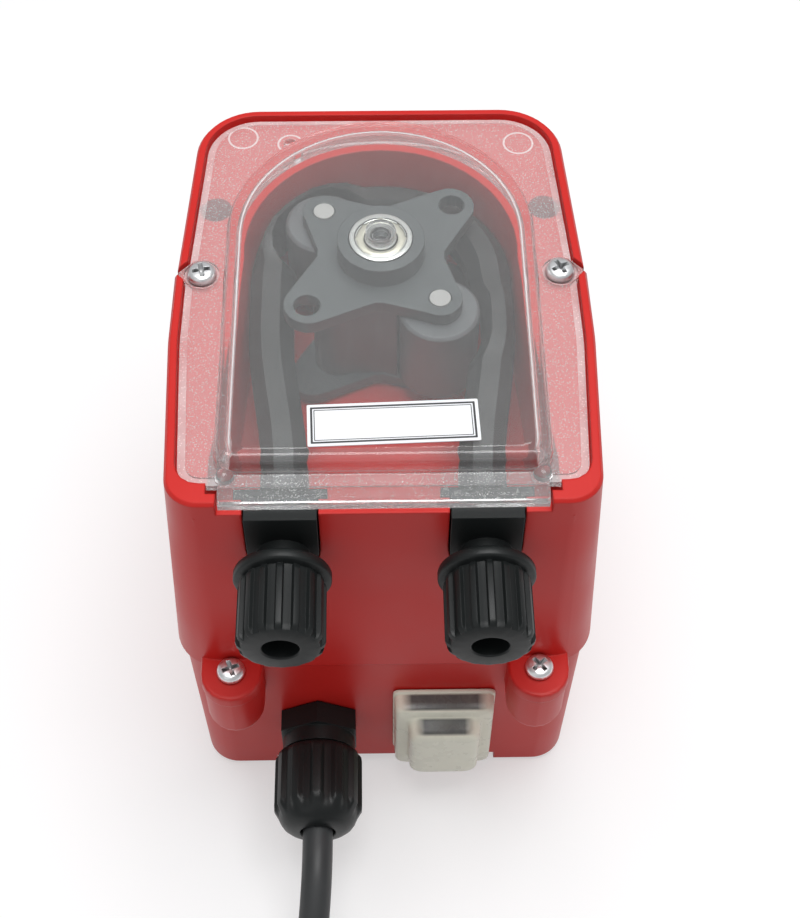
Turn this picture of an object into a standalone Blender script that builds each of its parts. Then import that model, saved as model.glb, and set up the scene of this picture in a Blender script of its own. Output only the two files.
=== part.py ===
"""Peristaltic dosing pump for liquid detergent, as an assembly of its separate pieces.

The pump lies on the back of its housing, as it would be carried to a wall bracket: +Z points out of
the clear front cover, +Y to the top of the pump as it hangs on a wall, and +X to the right of
somebody who looks at the cover. The origin is the centre of the back face.

Every size below is in millimetres. MM turns it into Blender's metres where a mesh is made.
"""

import math

import bmesh
import bpy
from mathutils import Matrix, Vector

MM = 0.001

# Clearances.
SEAT_GAP = 0.3
RUNNING_GAP = 0.25

# Housing: the front half carries the pump chamber, the rear half the switch and the cable.
RIM_Z = 113.0
SPLIT_Z = 53.0
HALF_HEIGHT = 51.35
BOTTOM_HALF_WIDTH = 40.4
BELLY_HALF_WIDTH = 41.9
BELLY_Y = -13.0
WAIST_HALF_WIDTH = 41.6
WAIST_Y = 4.0
WAIST_STEP = 0.4
TOP_HALF_WIDTH = 38.3
BOTTOM_CORNER = 6.5
TOP_CORNER = 13.0
FLARE_SIDE = 3.2
FLARE_FOOT = 0.6
FLARE_ENDS = 1.95
FLARE_CORNER = 3.0
RIM_ROUNDING = 0.7
WALL = 2.6
RIM_WALL = 1.8
SKIRT_OVERHANG = 1.1
LIP_HEIGHT = 2.4
LIP_WALL = 1.4
REAR_TAPER = 1.0
REAR_ROUNDING = 1.5
BACK_WALL = 3.0

# Recess in the back for the wall bracket.
RECESS_HALF_WIDTH = 25.8
RECESS_DEPTH = 4.6
RECESS_TOP_Y = -9.5

# Pump chamber: a horseshoe race around the pump axis that widens towards the connectors.
PUMP_AXIS_Y = 13.0
RACE_RADIUS = 28.2
RACE_WALL = 2.5
CHAMBER_HALF_WIDTH = 32.8
CHAMBER_WIDE_LENGTH = 8.9
CHAMBER_KNEE_X = 31.0
CHAMBER_KNEE_LENGTH = 13.0
FRONT_WALL = 2.45
CHAMBER_DEPTH = 33.0
CHAMBER_FLOOR_WALL = 3.0
SHELF_WALL = 2.8

# Clear cover.
FLANGE_THICKNESS = 2.1
FLANGE_SIDE_GAP = 0.35
FLANGE_END_INSET = 5.15
FLANGE_BAND = 1.5
FLANGE_BAND_DROP = 0.5
SHELF_DROP = 3.3
DOME_RADIUS = 31.7
DOME_END_INSET = 7.05
DOME_RISE = 4.9
DOME_WALL = 2.0
DOME_ROUNDING = 1.4
LIP_HALF_WIDTH = 30.6
LIP_END_INSET = 0.75
LIP_BEAD_WIDTH = 3.2
LIP_BEAD_RISE = 0.7
NUB_RADIUS = 1.9
NUB_X = 29.5
VENT_HOLE_RADIUS = 1.5
VENT_HOLE_X = -19.2
VENT_HOLE_INSET = 9.55

# Screws.
COVER_SCREW_X = 36.3
COVER_SCREW_Y = 5.0
COVER_EAR_RADIUS = 3.9
COVER_EAR_TIP_X = 41.0
UPPER_SCREW_X = 34.4
UPPER_SCREW_Y = 24.0
UPPER_POST_RADIUS = 4.2
UPPER_SEAT_RISE = 9.0
EAR_SCREW_X = 32.3
EAR_SCREW_STAND = 4.95
EAR_HALF_WIDTH = 6.45
EAR_CORNER = 6.4
EAR_THICKNESS = 3.2
EAR_ROUNDING = 0.8
EAR_BOSS_LENGTH = 13.6
SCREW_HEAD_RADIUS = 2.9
SCREW_HEAD_HEIGHT = 1.9
SCREW_SHANK_RADIUS = 1.5
COVER_SCREW_LENGTH = 12.0
HOUSING_SCREW_LENGTH = 14.0
DRIVE_SLOT = 3.2
DRIVE_SLOT_WIDTH = 0.7
DRIVE_SLOT_DEPTH = 1.1

# Bearing in the rotor's hub: 4 x 13 x 5, shielded.
BEARING_OUTER_RADIUS = 6.5
BEARING_BORE_RADIUS = 2.0
BEARING_WIDTH = 5.0
BEARING_OUTER_WALL = 1.1
BEARING_INNER_WALL = 1.3
BALL_COUNT = 7
BALL_RADIUS = 0.75
BEARING_DROP = 4.0

# Rotor: an X of two plates with two roller arms and two guide arms.
HUB_RADIUS = 9.05
ROTOR_DROP = 5.1
ROTOR_PLATE = 3.0
ROTOR_FLOOR_GAP = 1.0
ROLLER_ARM_ANGLE = 134.5
GUIDE_ARM_ANGLE = 42.0
PIN_CIRCLE = 17.0
ROLLER_LOBE_RADIUS = 4.6
GUIDE_CIRCLE = 20.35
GUIDE_LOBE_CIRCLE = 19.8
GUIDE_LOBE_RADIUS = 5.2
GUIDE_HOLE_RADIUS = 2.75
GUIDE_WEB_RADIUS = 17.4
NOTCH_CIRCLE = 13.2
ROLLER_POCKET_RADIUS = 8.9
ROLLER_RADIUS = 8.3
PIN_RADIUS = 2.2
PIN_STAND = 0.1

# Pump tube and its connectors.
TUBE_RADIUS = 5.0
TUBE_WALL = 1.6
TUBE_DROP = 15.5
TUBE_SPREAD = 0.5
CONNECTOR_X = 19.2
SLOT_HALF_WIDTH = 7.1
CONNECTOR_FLANGE = 1.6
CONNECTOR_FLANGE_THICKNESS = 2.2
CONNECTOR_PROUD = 1.2
SPIGOT_LENGTH = 8.0
SPIGOT_RADIUS = 2.9
CONNECTOR_BORE = 1.4
NECK_RADIUS = 5.15
NECK_LENGTH = 4.0
THREAD_RADIUS = 5.9
THREAD_LENGTH = 7.2
NIPPLE_RADIUS = 2.0
NIPPLE_LENGTH = 3.6
NUT_RADIUS = 7.6
NUT_RIB_RADIUS = 8.35
NUT_RIBS = 16
NUT_FLANGE_RADIUS = 9.3
NUT_FLANGE_THICKNESS = 2.0
NUT_SHOULDER_RADIUS = 7.0
NUT_STANDOFF = 2.85
NUT_LENGTH = 17.6
NUT_HOLE_RADIUS = 3.5
NUT_RIB_START = 4.0
FERRULE_LENGTH = 2.6
FERRULE_RADIUS = 5.2
FERRULE_BORE = 3.3

# Geared motor under the chamber.
GEAR_MODULE = 1.0
WHEEL_TEETH = 30
IDLER_PINION_TEETH = 10
MOTOR_PINION_TEETH = 8
IDLER_X = 9.0
MOTOR_X = -6.0
GEARBOX_X = (-24.0, 27.5)
GEARBOX_Y = (-26.5, 31.5)
GEARBOX_CORNER = 7.0
GEARBOX_HEIGHT = 19.0
GEARBOX_WALL = 2.0
WHEEL_THICKNESS = 3.4
LAYER_GAP = 1.0
SHAFT_RADIUS = 3.0
IDLER_PIN_RADIUS = 1.5
MOTOR_SHAFT_RADIUS = 1.4
MOTOR_RADIUS = 17.5
MOTOR_LENGTH = 22.0
MOTOR_SPINDLE_DEPTH = 8.0
BUSH_RADIUS = 5.0
GEARBOX_SCREWS = (("left", -19.5, 24.5), ("right", 21.0, -20.5))

# Cable gland, on the left of the rear half's lower wall.
GLAND_X = -15.05
GLAND_Z = 24.3
GLAND_HEX = 16.6
GLAND_HEX_THICKNESS = 4.9
GLAND_COLLAR_RADIUS = 8.1
GLAND_COLLAR = 3.4
GLAND_THREAD_RADIUS = 7.4
GLAND_THREAD_LENGTH = 9.0
GLAND_CLAW_LENGTH = 6.0
GLAND_BORE_RADIUS = 5.6
LOCK_NUT_HEX = 19.0
LOCK_NUT_THICKNESS = 4.5
DOME_NUT_RADIUS = 9.7
DOME_NUT_LENGTH = 18.4
DOME_NUT_FLATS = 12
SEAL_LENGTH = 7.0

# Rocker switch and its soft boot, on the right of the same wall.
SWITCH_X = 13.0
SWITCH_Z = 24.55
SWITCH_BODY_WIDTH = 12.6
SWITCH_BODY_HEIGHT = 19.2
SWITCH_BODY_DEPTH = 18.0
BEZEL_WIDTH = 15.0
BEZEL_HEIGHT = 21.0
BEZEL_THICKNESS = 1.8
ROCKER_WIDTH = 9.6
ROCKER_HEIGHT = 14.6
ROCKER_RADIUS = 10.5
ROCKER_REST_TILT = 9.0
BOOT_WIDTH = 22.0
BOOT_HEIGHT = 27.7
BOOT_DEPTH = 5.0
BUMP_WIDTH = 15.8
BUMP_HEIGHT = 20.5
BUMP_DEPTH = 4.4
BOOT_WALL = 1.1
BOOT_FLANGE = 0.7

# Label on the dome, left bare.
LABEL_WIDTH = 32.0
LABEL_HEIGHT = 9.5
LABEL_THICKNESS = 0.25
LABEL_X = 1.9
LABEL_INSET = 8.0
LABEL_TURN = 2.0

# Mains cable: its free run, its coil and the stripped end.
CABLE_RADIUS = 3.3
CABLE_ROUTE = (
    (-15.05, -40.0, 24.3),
    (-15.05, -60.0, 24.3),
    (-15.05, -80.0, 24.3),
    (-15.2, -88.0, 23.2),
    (-15.8, -96.0, 19.6),
    (-16.9, -104.0, 14.2),
    (-18.4, -112.0, 8.8),
    (-20.3, -120.0, 5.0),
    (-22.8, -128.5, 3.6),
    (-26.2, -138.5, 3.5),
    (-30.2, -150.0, 3.5),
    (-33.7, -160.0, 3.5),
    (-35.8, -168.6, 3.5),
    (-36.5, -176.8, 3.5),
)
COIL_X = 9.0
COIL_Y = -197.0
COIL_MEAN_RADIUS = 36.3
COIL_COLUMNS = 3
COIL_LAYERS = 2
COIL_FLOOR = 0.2
TIE_WIDTH = 9.0
TIE_THICKNESS = 0.8
TAIL_ROUTE = (
    (40.5, -158.4, 9.6),
    (37.8, -149.5, 6.4),
    (34.4, -141.0, 4.2),
    (30.6, -132.5, 3.5),
    (26.8, -124.5, 3.5),
)
CORE_RADIUS = 1.1
CORE_LENGTH = 15.0
CORE_GAP = 0.3
CORE_SPACING = 2.5

PARTS = None
CUTTERS = None
MATERIALS = {}

# Values that follow from the sizes above.
SHELF_Z = RIM_Z - SHELF_DROP
FLANGE_BOTTOM_Z = SHELF_Z + SEAT_GAP
FLANGE_TOP_Z = FLANGE_BOTTOM_Z + FLANGE_THICKNESS
DOME_TOP_Z = FLANGE_TOP_Z + DOME_RISE
BEARING_TOP_Z = DOME_TOP_Z - BEARING_DROP
BEARING_BOTTOM_Z = BEARING_TOP_Z - BEARING_WIDTH
CHAMBER_FLOOR_Z = RIM_Z - CHAMBER_DEPTH
ROTOR_TOP_Z = BEARING_TOP_Z - ROTOR_DROP
ROTOR_BOTTOM_Z = CHAMBER_FLOOR_Z + ROTOR_FLOOR_GAP
TUBE_Z = RIM_Z - TUBE_DROP
UPPER_SEAT_Z = SPLIT_Z + UPPER_SEAT_RISE
CHAMBER_END_Y = -(HALF_HEIGHT - FRONT_WALL)
CHAMBER_WIDE_Y = CHAMBER_END_Y + CHAMBER_WIDE_LENGTH
CHAMBER_KNEE_Y = CHAMBER_WIDE_Y + CHAMBER_KNEE_LENGTH
FLANGE_END_Y = -(HALF_HEIGHT - FLANGE_END_INSET)
DOME_END_Y = -(HALF_HEIGHT - DOME_END_INSET)
LIP_END_Y = -(HALF_HEIGHT - LIP_END_INSET)
VENT_HOLE_Y = HALF_HEIGHT - VENT_HOLE_INSET
LABEL_Y = DOME_END_Y + LABEL_INSET
EAR_SCREW_Y = -(HALF_HEIGHT + EAR_SCREW_STAND)
EAR_FRONT_Y = EAR_SCREW_Y - EAR_HALF_WIDTH
REAR_TOP_Z = SPLIT_Z - SEAT_GAP
REAR_WALL_Y = -(HALF_HEIGHT + FLARE_ENDS - SKIRT_OVERHANG - REAR_TAPER / 3)
REAR_WALL = WALL + LIP_WALL + RUNNING_GAP - SKIRT_OVERHANG
IDLER_Y = PUMP_AXIS_Y - math.sqrt((GEAR_MODULE * (WHEEL_TEETH + IDLER_PINION_TEETH) / 2) ** 2 - IDLER_X**2)
MOTOR_Y = IDLER_Y - math.sqrt(
    (GEAR_MODULE * (WHEEL_TEETH + MOTOR_PINION_TEETH) / 2) ** 2 - (IDLER_X - MOTOR_X) ** 2
)
GEARBOX_TOP_Z = CHAMBER_FLOOR_Z - CHAMBER_FLOOR_WALL - SEAT_GAP
GEARBOX_BOTTOM_Z = GEARBOX_TOP_Z - GEARBOX_HEIGHT
CONNECTOR_FRONT_Y = -(HALF_HEIGHT + CONNECTOR_PROUD)
THREAD_END_Y = CONNECTOR_FRONT_Y - NECK_LENGTH - THREAD_LENGTH
NUT_START_Y = CONNECTOR_FRONT_Y - NUT_STANDOFF


def clear_scene():
    for obj in list(bpy.data.objects):
        bpy.data.objects.remove(obj, do_unlink=True)


def new_collection(name):
    made = bpy.data.collections.new(name)
    bpy.context.scene.collection.children.link(made)
    return made


def add_material(name, colour, roughness, metallic=0.0, alpha=1.0, transmission=0.0):
    made = bpy.data.materials.new(name)
    made.use_nodes = True
    shader = made.node_tree.nodes["Principled BSDF"]
    shader.inputs["Base Color"].default_value = (*colour, 1.0)
    shader.inputs["Roughness"].default_value = roughness
    shader.inputs["Metallic"].default_value = metallic
    shader.inputs["Alpha"].default_value = alpha
    shader.inputs["Transmission Weight"].default_value = transmission
    MATERIALS[name] = made


def make_materials():
    add_material("red_plastic", (0.62, 0.03, 0.025), 0.38)
    add_material("clear_plastic", (0.93, 0.93, 0.94), 0.08, alpha=0.35, transmission=0.9)
    add_material("black_plastic", (0.012, 0.014, 0.014), 0.42)
    add_material("grey_plastic", (0.07, 0.08, 0.08), 0.45)
    add_material("roller_plastic", (0.10, 0.11, 0.115), 0.4)
    add_material("zinc_steel", (0.72, 0.73, 0.74), 0.28, metallic=1.0)
    add_material("bearing_steel", (0.78, 0.77, 0.72), 0.2, metallic=1.0)
    add_material("pin_steel", (0.80, 0.79, 0.76), 0.35, metallic=1.0)
    add_material("tube_rubber", (0.02, 0.022, 0.022), 0.55)
    add_material("seal_rubber", (0.03, 0.03, 0.03), 0.7)
    add_material("label_film", (0.92, 0.93, 0.94), 0.4)
    add_material("boot_silicone", (0.80, 0.77, 0.62), 0.35, alpha=0.9)
    add_material("cable_sheath", (0.035, 0.037, 0.038), 0.6)
    add_material("core_brown", (0.17, 0.07, 0.03), 0.5)
    add_material("core_blue", (0.04, 0.12, 0.45), 0.5)
    add_material("core_green", (0.12, 0.42, 0.10), 0.5)
    add_material("gear_plastic", (0.85, 0.83, 0.76), 0.5)
    add_material("bronze", (0.45, 0.30, 0.12), 0.4, metallic=1.0)
    add_material("terminal_plastic", (0.75, 0.75, 0.72), 0.5)
    add_material("tie_fabric", (0.02, 0.02, 0.02), 0.9)


def outward(mesh):
    """Turns the faces of a closed mesh outwards and welds points that lie together."""
    bm = bmesh.new()
    bm.from_mesh(mesh)
    bmesh.ops.remove_doubles(bm, verts=bm.verts, dist=1e-7)
    bmesh.ops.recalc_face_normals(bm, faces=bm.faces)
    bm.to_mesh(mesh)
    bm.free()
    mesh.shade_smooth()
    mesh.set_sharp_from_angle(angle=math.radians(32))


def place(name, mesh, material, at=(0, 0, 0)):
    """Adds a mesh as a part, or as a cutter where it has no material."""
    outward(mesh)
    obj = bpy.data.objects.new(name, mesh)
    obj.location = Vector(at) * MM
    if material is None:
        CUTTERS.objects.link(obj)
        obj.hide_render = True
        obj.display_type = "WIRE"
    else:
        PARTS.objects.link(obj)
        mesh.materials.append(MATERIALS[material])
    return obj


def evaluated_mesh(obj):
    """The mesh that an object's modifiers or curve give, and the object is removed."""
    graph = bpy.context.evaluated_depsgraph_get()
    mesh = bpy.data.meshes.new_from_object(obj.evaluated_get(graph))
    mesh.transform(obj.matrix_world)
    bpy.data.objects.remove(obj, do_unlink=True)
    return mesh


def turn_to(mesh, axis):
    """Turns a mesh made along Z so that its +Z points along the named direction."""
    direction = {"Z": (0, 0, 1), "-Z": (0, 0, -1), "Y": (0, 1, 0), "-Y": (0, -1, 0), "X": (1, 0, 0)}[axis]
    if axis != "Z":
        mesh.transform(Vector((0, 0, 1)).rotation_difference(Vector(direction)).to_matrix().to_4x4())


def turned(name, profile, material=None, at=(0, 0, 0), axis="Z", steps=24, ring=False):
    """A turned piece: (radius, height) points from the top of the axis down the outer side.

    A ring's profile is a closed loop that stays clear of the axis.
    """
    mesh = bpy.data.meshes.new(name)
    points = [(radius * MM, 0.0, height * MM) for radius, height in profile]
    edges = [(i, i + 1) for i in range(len(points) - 1)]
    if ring:
        edges.append((len(points) - 1, 0))
    mesh.from_pydata(points, edges, [])
    guide = bpy.data.objects.new(name + "_profile", mesh)
    bpy.context.scene.collection.objects.link(guide)
    screw = guide.modifiers.new("Screw", "SCREW")
    screw.steps = steps
    screw.render_steps = steps
    screw.use_merge_vertices = True
    screw.merge_threshold = 1e-6
    solid = evaluated_mesh(guide)
    turn_to(solid, axis)
    return place(name, solid, material, at)


def cylinder(name, radius, low, high, material=None, at=(0, 0, 0), axis="Z", steps=18):
    profile = [(0, high), (radius, high), (radius, low), (0, low)]
    return turned(name, profile, material, at, axis, steps)


def washer(name, inner, outer, low, high, material=None, at=(0, 0, 0), axis="Z", steps=24):
    profile = [(inner, high), (outer, high), (outer, low), (inner, low)]
    return turned(name, profile, material, at, axis, steps, ring=True)


def plate(name, outlines, low, high, material=None, at=(0, 0, 0), axis="Z"):
    """A flat outline, with any holes as further outlines, given its thickness."""
    curve = bpy.data.curves.new(name + "_outline", "CURVE")
    curve.dimensions = "2D"
    curve.fill_mode = "BOTH"
    curve.extrude = (high - low) / 2 * MM
    for outline in outlines:
        spline = curve.splines.new("POLY")
        spline.points.add(len(outline) - 1)
        spline.use_cyclic_u = True
        for point, (x, y) in zip(spline.points, outline):
            point.co = (x * MM, y * MM, 0.0, 1.0)
    guide = bpy.data.objects.new(name + "_outline", curve)
    bpy.context.scene.collection.objects.link(guide)
    solid = evaluated_mesh(guide)
    solid.transform(Matrix.Translation((0, 0, (low + high) / 2 * MM)))
    turn_to(solid, axis)
    return place(name, solid, material, at)


def wall_plate(name, outline, back, front, material=None, at=(0, 0, 0)):
    """A plate that stands in the XZ plane: its outline holds (x, z) points, and y runs from back to front.

    Back is the lower y, on the outside of the pump's lower wall.
    """
    return plate(name, [outline], -front, -back, material, at, "-Y")


def box(name, low, high, material=None, at=(0, 0, 0)):
    bm = bmesh.new()
    bmesh.ops.create_cube(bm, size=MM)
    size = [b - a for a, b in zip(low, high)]
    middle = [(a + b) / 2 * MM for a, b in zip(low, high)]
    bmesh.ops.scale(bm, vec=size, verts=bm.verts)
    bmesh.ops.translate(bm, vec=middle, verts=bm.verts)
    mesh = bpy.data.meshes.new(name)
    bm.to_mesh(mesh)
    bm.free()
    return place(name, mesh, material, at)


def loft(name, sections, material=None, at=(0, 0, 0), closed=False):
    """Skins a row of outlines with the same number of points, and caps both ends or joins them."""
    bm = bmesh.new()
    rings = [[bm.verts.new(Vector(p) * MM) for p in section] for section in sections]
    pairs = list(zip(rings, rings[1:]))
    if closed:
        pairs.append((rings[-1], rings[0]))
    for one, other in pairs:
        for i in range(len(one)):
            j = (i + 1) % len(one)
            bm.faces.new((one[i], one[j], other[j], other[i]))
    if not closed:
        bm.faces.new(rings[0])
        bm.faces.new(rings[-1])
    mesh = bpy.data.meshes.new(name)
    bm.to_mesh(mesh)
    bm.free()
    return place(name, mesh, material, at)


def combine(target, tool, operation):
    modifier = target.modifiers.new(tool.name, "BOOLEAN")
    modifier.operation = operation
    modifier.object = tool


def cut(target, *tools):
    for tool in tools:
        combine(target, tool, "DIFFERENCE")


def join(target, *tools):
    for tool in tools:
        combine(target, tool, "UNION")


def polar(radius, degrees):
    angle = math.radians(degrees)
    return (radius * math.cos(angle), radius * math.sin(angle))


def arc(centre, radius, start, end, steps):
    """Points of an arc, in degrees, both ends included."""
    turn = (end - start) / steps
    points = [polar(radius, start + turn * i) for i in range(steps + 1)]
    return [(centre[0] + x, centre[1] + y) for x, y in points]


def rounded(corners, steps=4):
    """A polygon's outline with each (x, y, radius) corner rounded. A radius of 0 keeps the corner."""
    outline = []
    for i, (x, y, radius) in enumerate(corners):
        here = Vector((x, y))
        before = (Vector(corners[i - 1][:2]) - here).normalized()
        after = (Vector(corners[(i + 1) % len(corners)][:2]) - here).normalized()
        if radius <= 0:
            outline.append((x, y))
            continue
        half = math.acos(max(-1.0, min(1.0, before.dot(after)))) / 2
        start = here + before * (radius / math.tan(half))
        centre = here + (before + after).normalized() * (radius / math.sin(half))
        spoke = start - centre
        sweep = math.pi - 2 * half
        if before.x * after.y - before.y * after.x > 0:
            sweep = -sweep
        for step in range(steps + 1):
            angle = sweep * step / steps
            cos, sin = math.cos(angle), math.sin(angle)
            outline.append((centre.x + spoke.x * cos - spoke.y * sin, centre.y + spoke.x * sin + spoke.y * cos))
    return outline


def rounded_rectangle(x0, x1, y0, y1, radius, steps=4):
    return rounded([(x1, y0, radius), (x1, y1, radius), (x0, y1, radius), (x0, y0, radius)], steps)


def hexagon(flats, turn=0.0):
    corner = flats / math.sqrt(3)
    return [polar(corner, turn + 60 * i) for i in range(6)]


def at_height(outline, z):
    return [(x, y, z) for x, y in outline]


def mirrored(right):
    """A whole outline from its right half, which runs from the bottom to the top."""
    return right + [(-x, y, radius) for x, y, radius in reversed(right)]


def housing_outline(flare, inset=0.0, bottom_y=None):
    """The housing's outline, from the rim (flare 0) to the joint of its halves (flare 1)."""
    side = flare * FLARE_SIDE - inset
    ends = HALF_HEIGHT + flare * FLARE_ENDS - inset
    low_y = -ends if bottom_y is None else bottom_y
    bottom_radius = max(BOTTOM_CORNER + flare * FLARE_CORNER - inset, 1.0)
    top_radius = max(TOP_CORNER + flare * FLARE_CORNER - inset, 1.0)
    right = [
        (BOTTOM_HALF_WIDTH + flare * FLARE_FOOT + side, low_y, bottom_radius),
        (BELLY_HALF_WIDTH + side, BELLY_Y, 60.0),
        (WAIST_HALF_WIDTH + side, WAIST_Y, 0.0),
        (WAIST_HALF_WIDTH - WAIST_STEP + side, WAIST_Y + 2 * WAIST_STEP, 0.0),
        (TOP_HALF_WIDTH + side, ends, top_radius),
    ]
    return rounded(mirrored(right))


def flare_at(z):
    return (RIM_Z - z) / (RIM_Z - SPLIT_Z)


def housing_section(z, inset=0.0):
    return at_height(housing_outline(flare_at(z), inset), z)


def rear_outline(z, inset=0.0):
    """The rear half's outline: it tapers at the sides and the top, and its lower wall stays upright."""
    taper = REAR_TAPER * (1 - z / REAR_TOP_Z)
    outline = housing_outline(1.0, SKIRT_OVERHANG + taper + inset, bottom_y=REAR_WALL_Y + inset)
    return at_height(outline, z)


def chamber_outline(offset=0.0):
    """The chamber: a half-round race about the pump axis whose walls open out to the connectors."""
    wide = CHAMBER_HALF_WIDTH + offset
    knee = CHAMBER_KNEE_X + offset
    end = CHAMBER_END_Y - offset
    race = arc((0, PUMP_AXIS_Y), RACE_RADIUS + offset, -6, 186, 24)
    right = [(wide, end), (wide, CHAMBER_WIDE_Y), (knee, CHAMBER_KNEE_Y)]
    return right + race + [(-x, y) for x, y in reversed(right)]


def dome_sections(inset, top):
    """Sections of the dome or of its hollow, from below the flange up to the rounded top edge."""
    return [
        at_height(dome_loop(inset), FLANGE_TOP_Z - 1.0),
        at_height(dome_loop(inset + 0.3), top - DOME_ROUNDING),
        at_height(dome_loop(inset + 0.3 + DOME_ROUNDING * 0.4), top - DOME_ROUNDING * 0.35),
        at_height(dome_loop(inset + 0.3 + DOME_ROUNDING), top),
    ]


def dome_loop(inset):
    side = DOME_RADIUS - inset
    low = DOME_END_Y + inset
    right = arc((side - 2.5, low + 2.5), 2.5, -90, 0, 2)
    left = arc((-side + 2.5, low + 2.5), 2.5, 180, 270, 2)
    return right + arc((0, PUMP_AXIS_Y), side, 0, 180, 16) + left


def ear_outline(side, inset=0.0):
    """One half-round ear, seen from the front. It runs into the wall behind it."""
    half = EAR_HALF_WIDTH - inset
    corner = EAR_CORNER - inset
    front = EAR_FRONT_Y + inset
    corners = [
        (half, front, corner),
        (half, REAR_WALL_Y + 1.0, 0.0),
        (-half, REAR_WALL_Y + 1.0, 0.0),
        (-half, front, corner),
    ]
    return [(side * EAR_SCREW_X + x, y) for x, y in rounded(corners, 5)]


def slot_outline(offset=0.0, top=RIM_Z + 8.0):
    """The U-shaped slot that takes a tube connector, as (x, z) about the connector's axis."""
    half = SLOT_HALF_WIDTH + offset
    return [(half, top - TUBE_Z)] + [(-half, top - TUBE_Z)] + arc((0, 0), half, 180, 360, 10)


def make_front_housing():
    """The front half: a flared shell with the pump chamber, its shelf and the two lower screw ears."""
    shell = loft(
        "front_housing",
        [
            housing_section(SPLIT_Z),
            housing_section(RIM_Z - RIM_ROUNDING),
            at_height(housing_outline(0.0, RIM_ROUNDING * 0.7), RIM_Z),
        ],
        "red_plastic",
    )
    hollow = loft(
        "front_hollow",
        [housing_section(SPLIT_Z - 1.0, WALL), housing_section(SHELF_Z - SHELF_WALL, WALL)],
    )
    cut(shell, hollow)
    pot = plate(
        "chamber_wall",
        [chamber_outline(RACE_WALL)],
        CHAMBER_FLOOR_Z - CHAMBER_FLOOR_WALL,
        SHELF_Z - SHELF_WALL / 2,
    )
    join(shell, pot)
    for side, name in ((-1, "left"), (1, "right")):
        cover_boss = cylinder(
            f"cover_boss_{name}",
            SCREW_SHANK_RADIUS + 2.2,
            SHELF_Z - COVER_SCREW_LENGTH - 1.0,
            SHELF_Z - SHELF_WALL / 2,
            at=(side * COVER_SCREW_X, COVER_SCREW_Y, 0),
        )
        post = cylinder(
            f"upper_post_{name}",
            UPPER_POST_RADIUS,
            SPLIT_Z,
            SHELF_Z - SHELF_WALL / 2,
            at=(side * UPPER_SCREW_X, UPPER_SCREW_Y, 0),
        )
        ear = loft(
            f"ear_{name}",
            [
                at_height(ear_outline(side), SPLIT_Z),
                at_height(ear_outline(side), SPLIT_Z + EAR_THICKNESS - EAR_ROUNDING),
                at_height(ear_outline(side, EAR_ROUNDING * 0.3), SPLIT_Z + EAR_THICKNESS - EAR_ROUNDING * 0.3),
                at_height(ear_outline(side, EAR_ROUNDING), SPLIT_Z + EAR_THICKNESS),
            ],
        )
        join(shell, cover_boss, post, ear)
    cut_front_openings(shell)
    return shell


def cut_front_openings(shell):
    """Cuts the chamber, the seat of the cover, the connector slots and the screw holes."""
    chamber = plate("chamber_space", [chamber_outline()], CHAMBER_FLOOR_Z, RIM_Z + 5)
    seat = plate(
        "cover_seat",
        [housing_outline(0.0, RIM_WALL, bottom_y=FLANGE_END_Y - FLANGE_SIDE_GAP)],
        SHELF_Z,
        RIM_Z + 5,
    )
    lip_seat = box(
        "cover_lip_seat",
        (-LIP_HALF_WIDTH - FLANGE_SIDE_GAP, -HALF_HEIGHT - 8, SHELF_Z),
        (LIP_HALF_WIDTH + FLANGE_SIDE_GAP, CHAMBER_END_Y + 5, RIM_Z + 5),
    )
    shaft_hole = cylinder(
        "shaft_opening",
        BUSH_RADIUS + SEAT_GAP,
        CHAMBER_FLOOR_Z - CHAMBER_FLOOR_WALL - 2,
        CHAMBER_FLOOR_Z + 2,
        at=(0, PUMP_AXIS_Y, 0),
    )
    cut(shell, chamber, seat, lip_seat, shaft_hole)
    for side, name in ((-1, "left"), (1, "right")):
        slot = wall_plate(
            f"connector_slot_{name}",
            slot_outline(),
            -HALF_HEIGHT - 8,
            CHAMBER_END_Y + 3,
            at=(side * CONNECTOR_X, 0, TUBE_Z),
        )
        ear_notch = plate(
            f"cover_ear_notch_{name}", [cover_ear_outline(side, FLANGE_SIDE_GAP)], SHELF_Z, RIM_Z + 5
        )
        cover_hole = cylinder(
            f"cover_screw_hole_{name}",
            SCREW_SHANK_RADIUS + RUNNING_GAP,
            SHELF_Z - COVER_SCREW_LENGTH + 1.0,
            SHELF_Z + 3,
            at=(side * COVER_SCREW_X, COVER_SCREW_Y, 0),
        )
        counterbore = turned(
            f"upper_screw_bore_{name}",
            [
                (0, SHELF_Z + 3),
                (SCREW_HEAD_RADIUS + 0.4, SHELF_Z + 3),
                (SCREW_HEAD_RADIUS + 0.4, UPPER_SEAT_Z),
                (SCREW_SHANK_RADIUS + RUNNING_GAP, UPPER_SEAT_Z),
                (SCREW_SHANK_RADIUS + RUNNING_GAP, SPLIT_Z - 3),
                (0, SPLIT_Z - 3),
            ],
            at=(side * UPPER_SCREW_X, UPPER_SCREW_Y, 0),
            steps=20,
        )
        ear_hole = cylinder(
            f"ear_hole_{name}",
            SCREW_SHANK_RADIUS + RUNNING_GAP,
            SPLIT_Z - 3,
            SPLIT_Z + EAR_THICKNESS + 3,
            at=(side * EAR_SCREW_X, EAR_SCREW_Y, 0),
        )
        cut(shell, slot, ear_notch, cover_hole, counterbore, ear_hole)
    for name, x, y in GEARBOX_SCREWS:
        screw_seat = cylinder(
            f"gearbox_screw_seat_{name}",
            SCREW_SHANK_RADIUS + RUNNING_GAP,
            GEARBOX_TOP_Z - 3,
            CHAMBER_FLOOR_Z - 0.7,
            at=(x, y, 0),
        )
        cut(shell, screw_seat)


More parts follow.
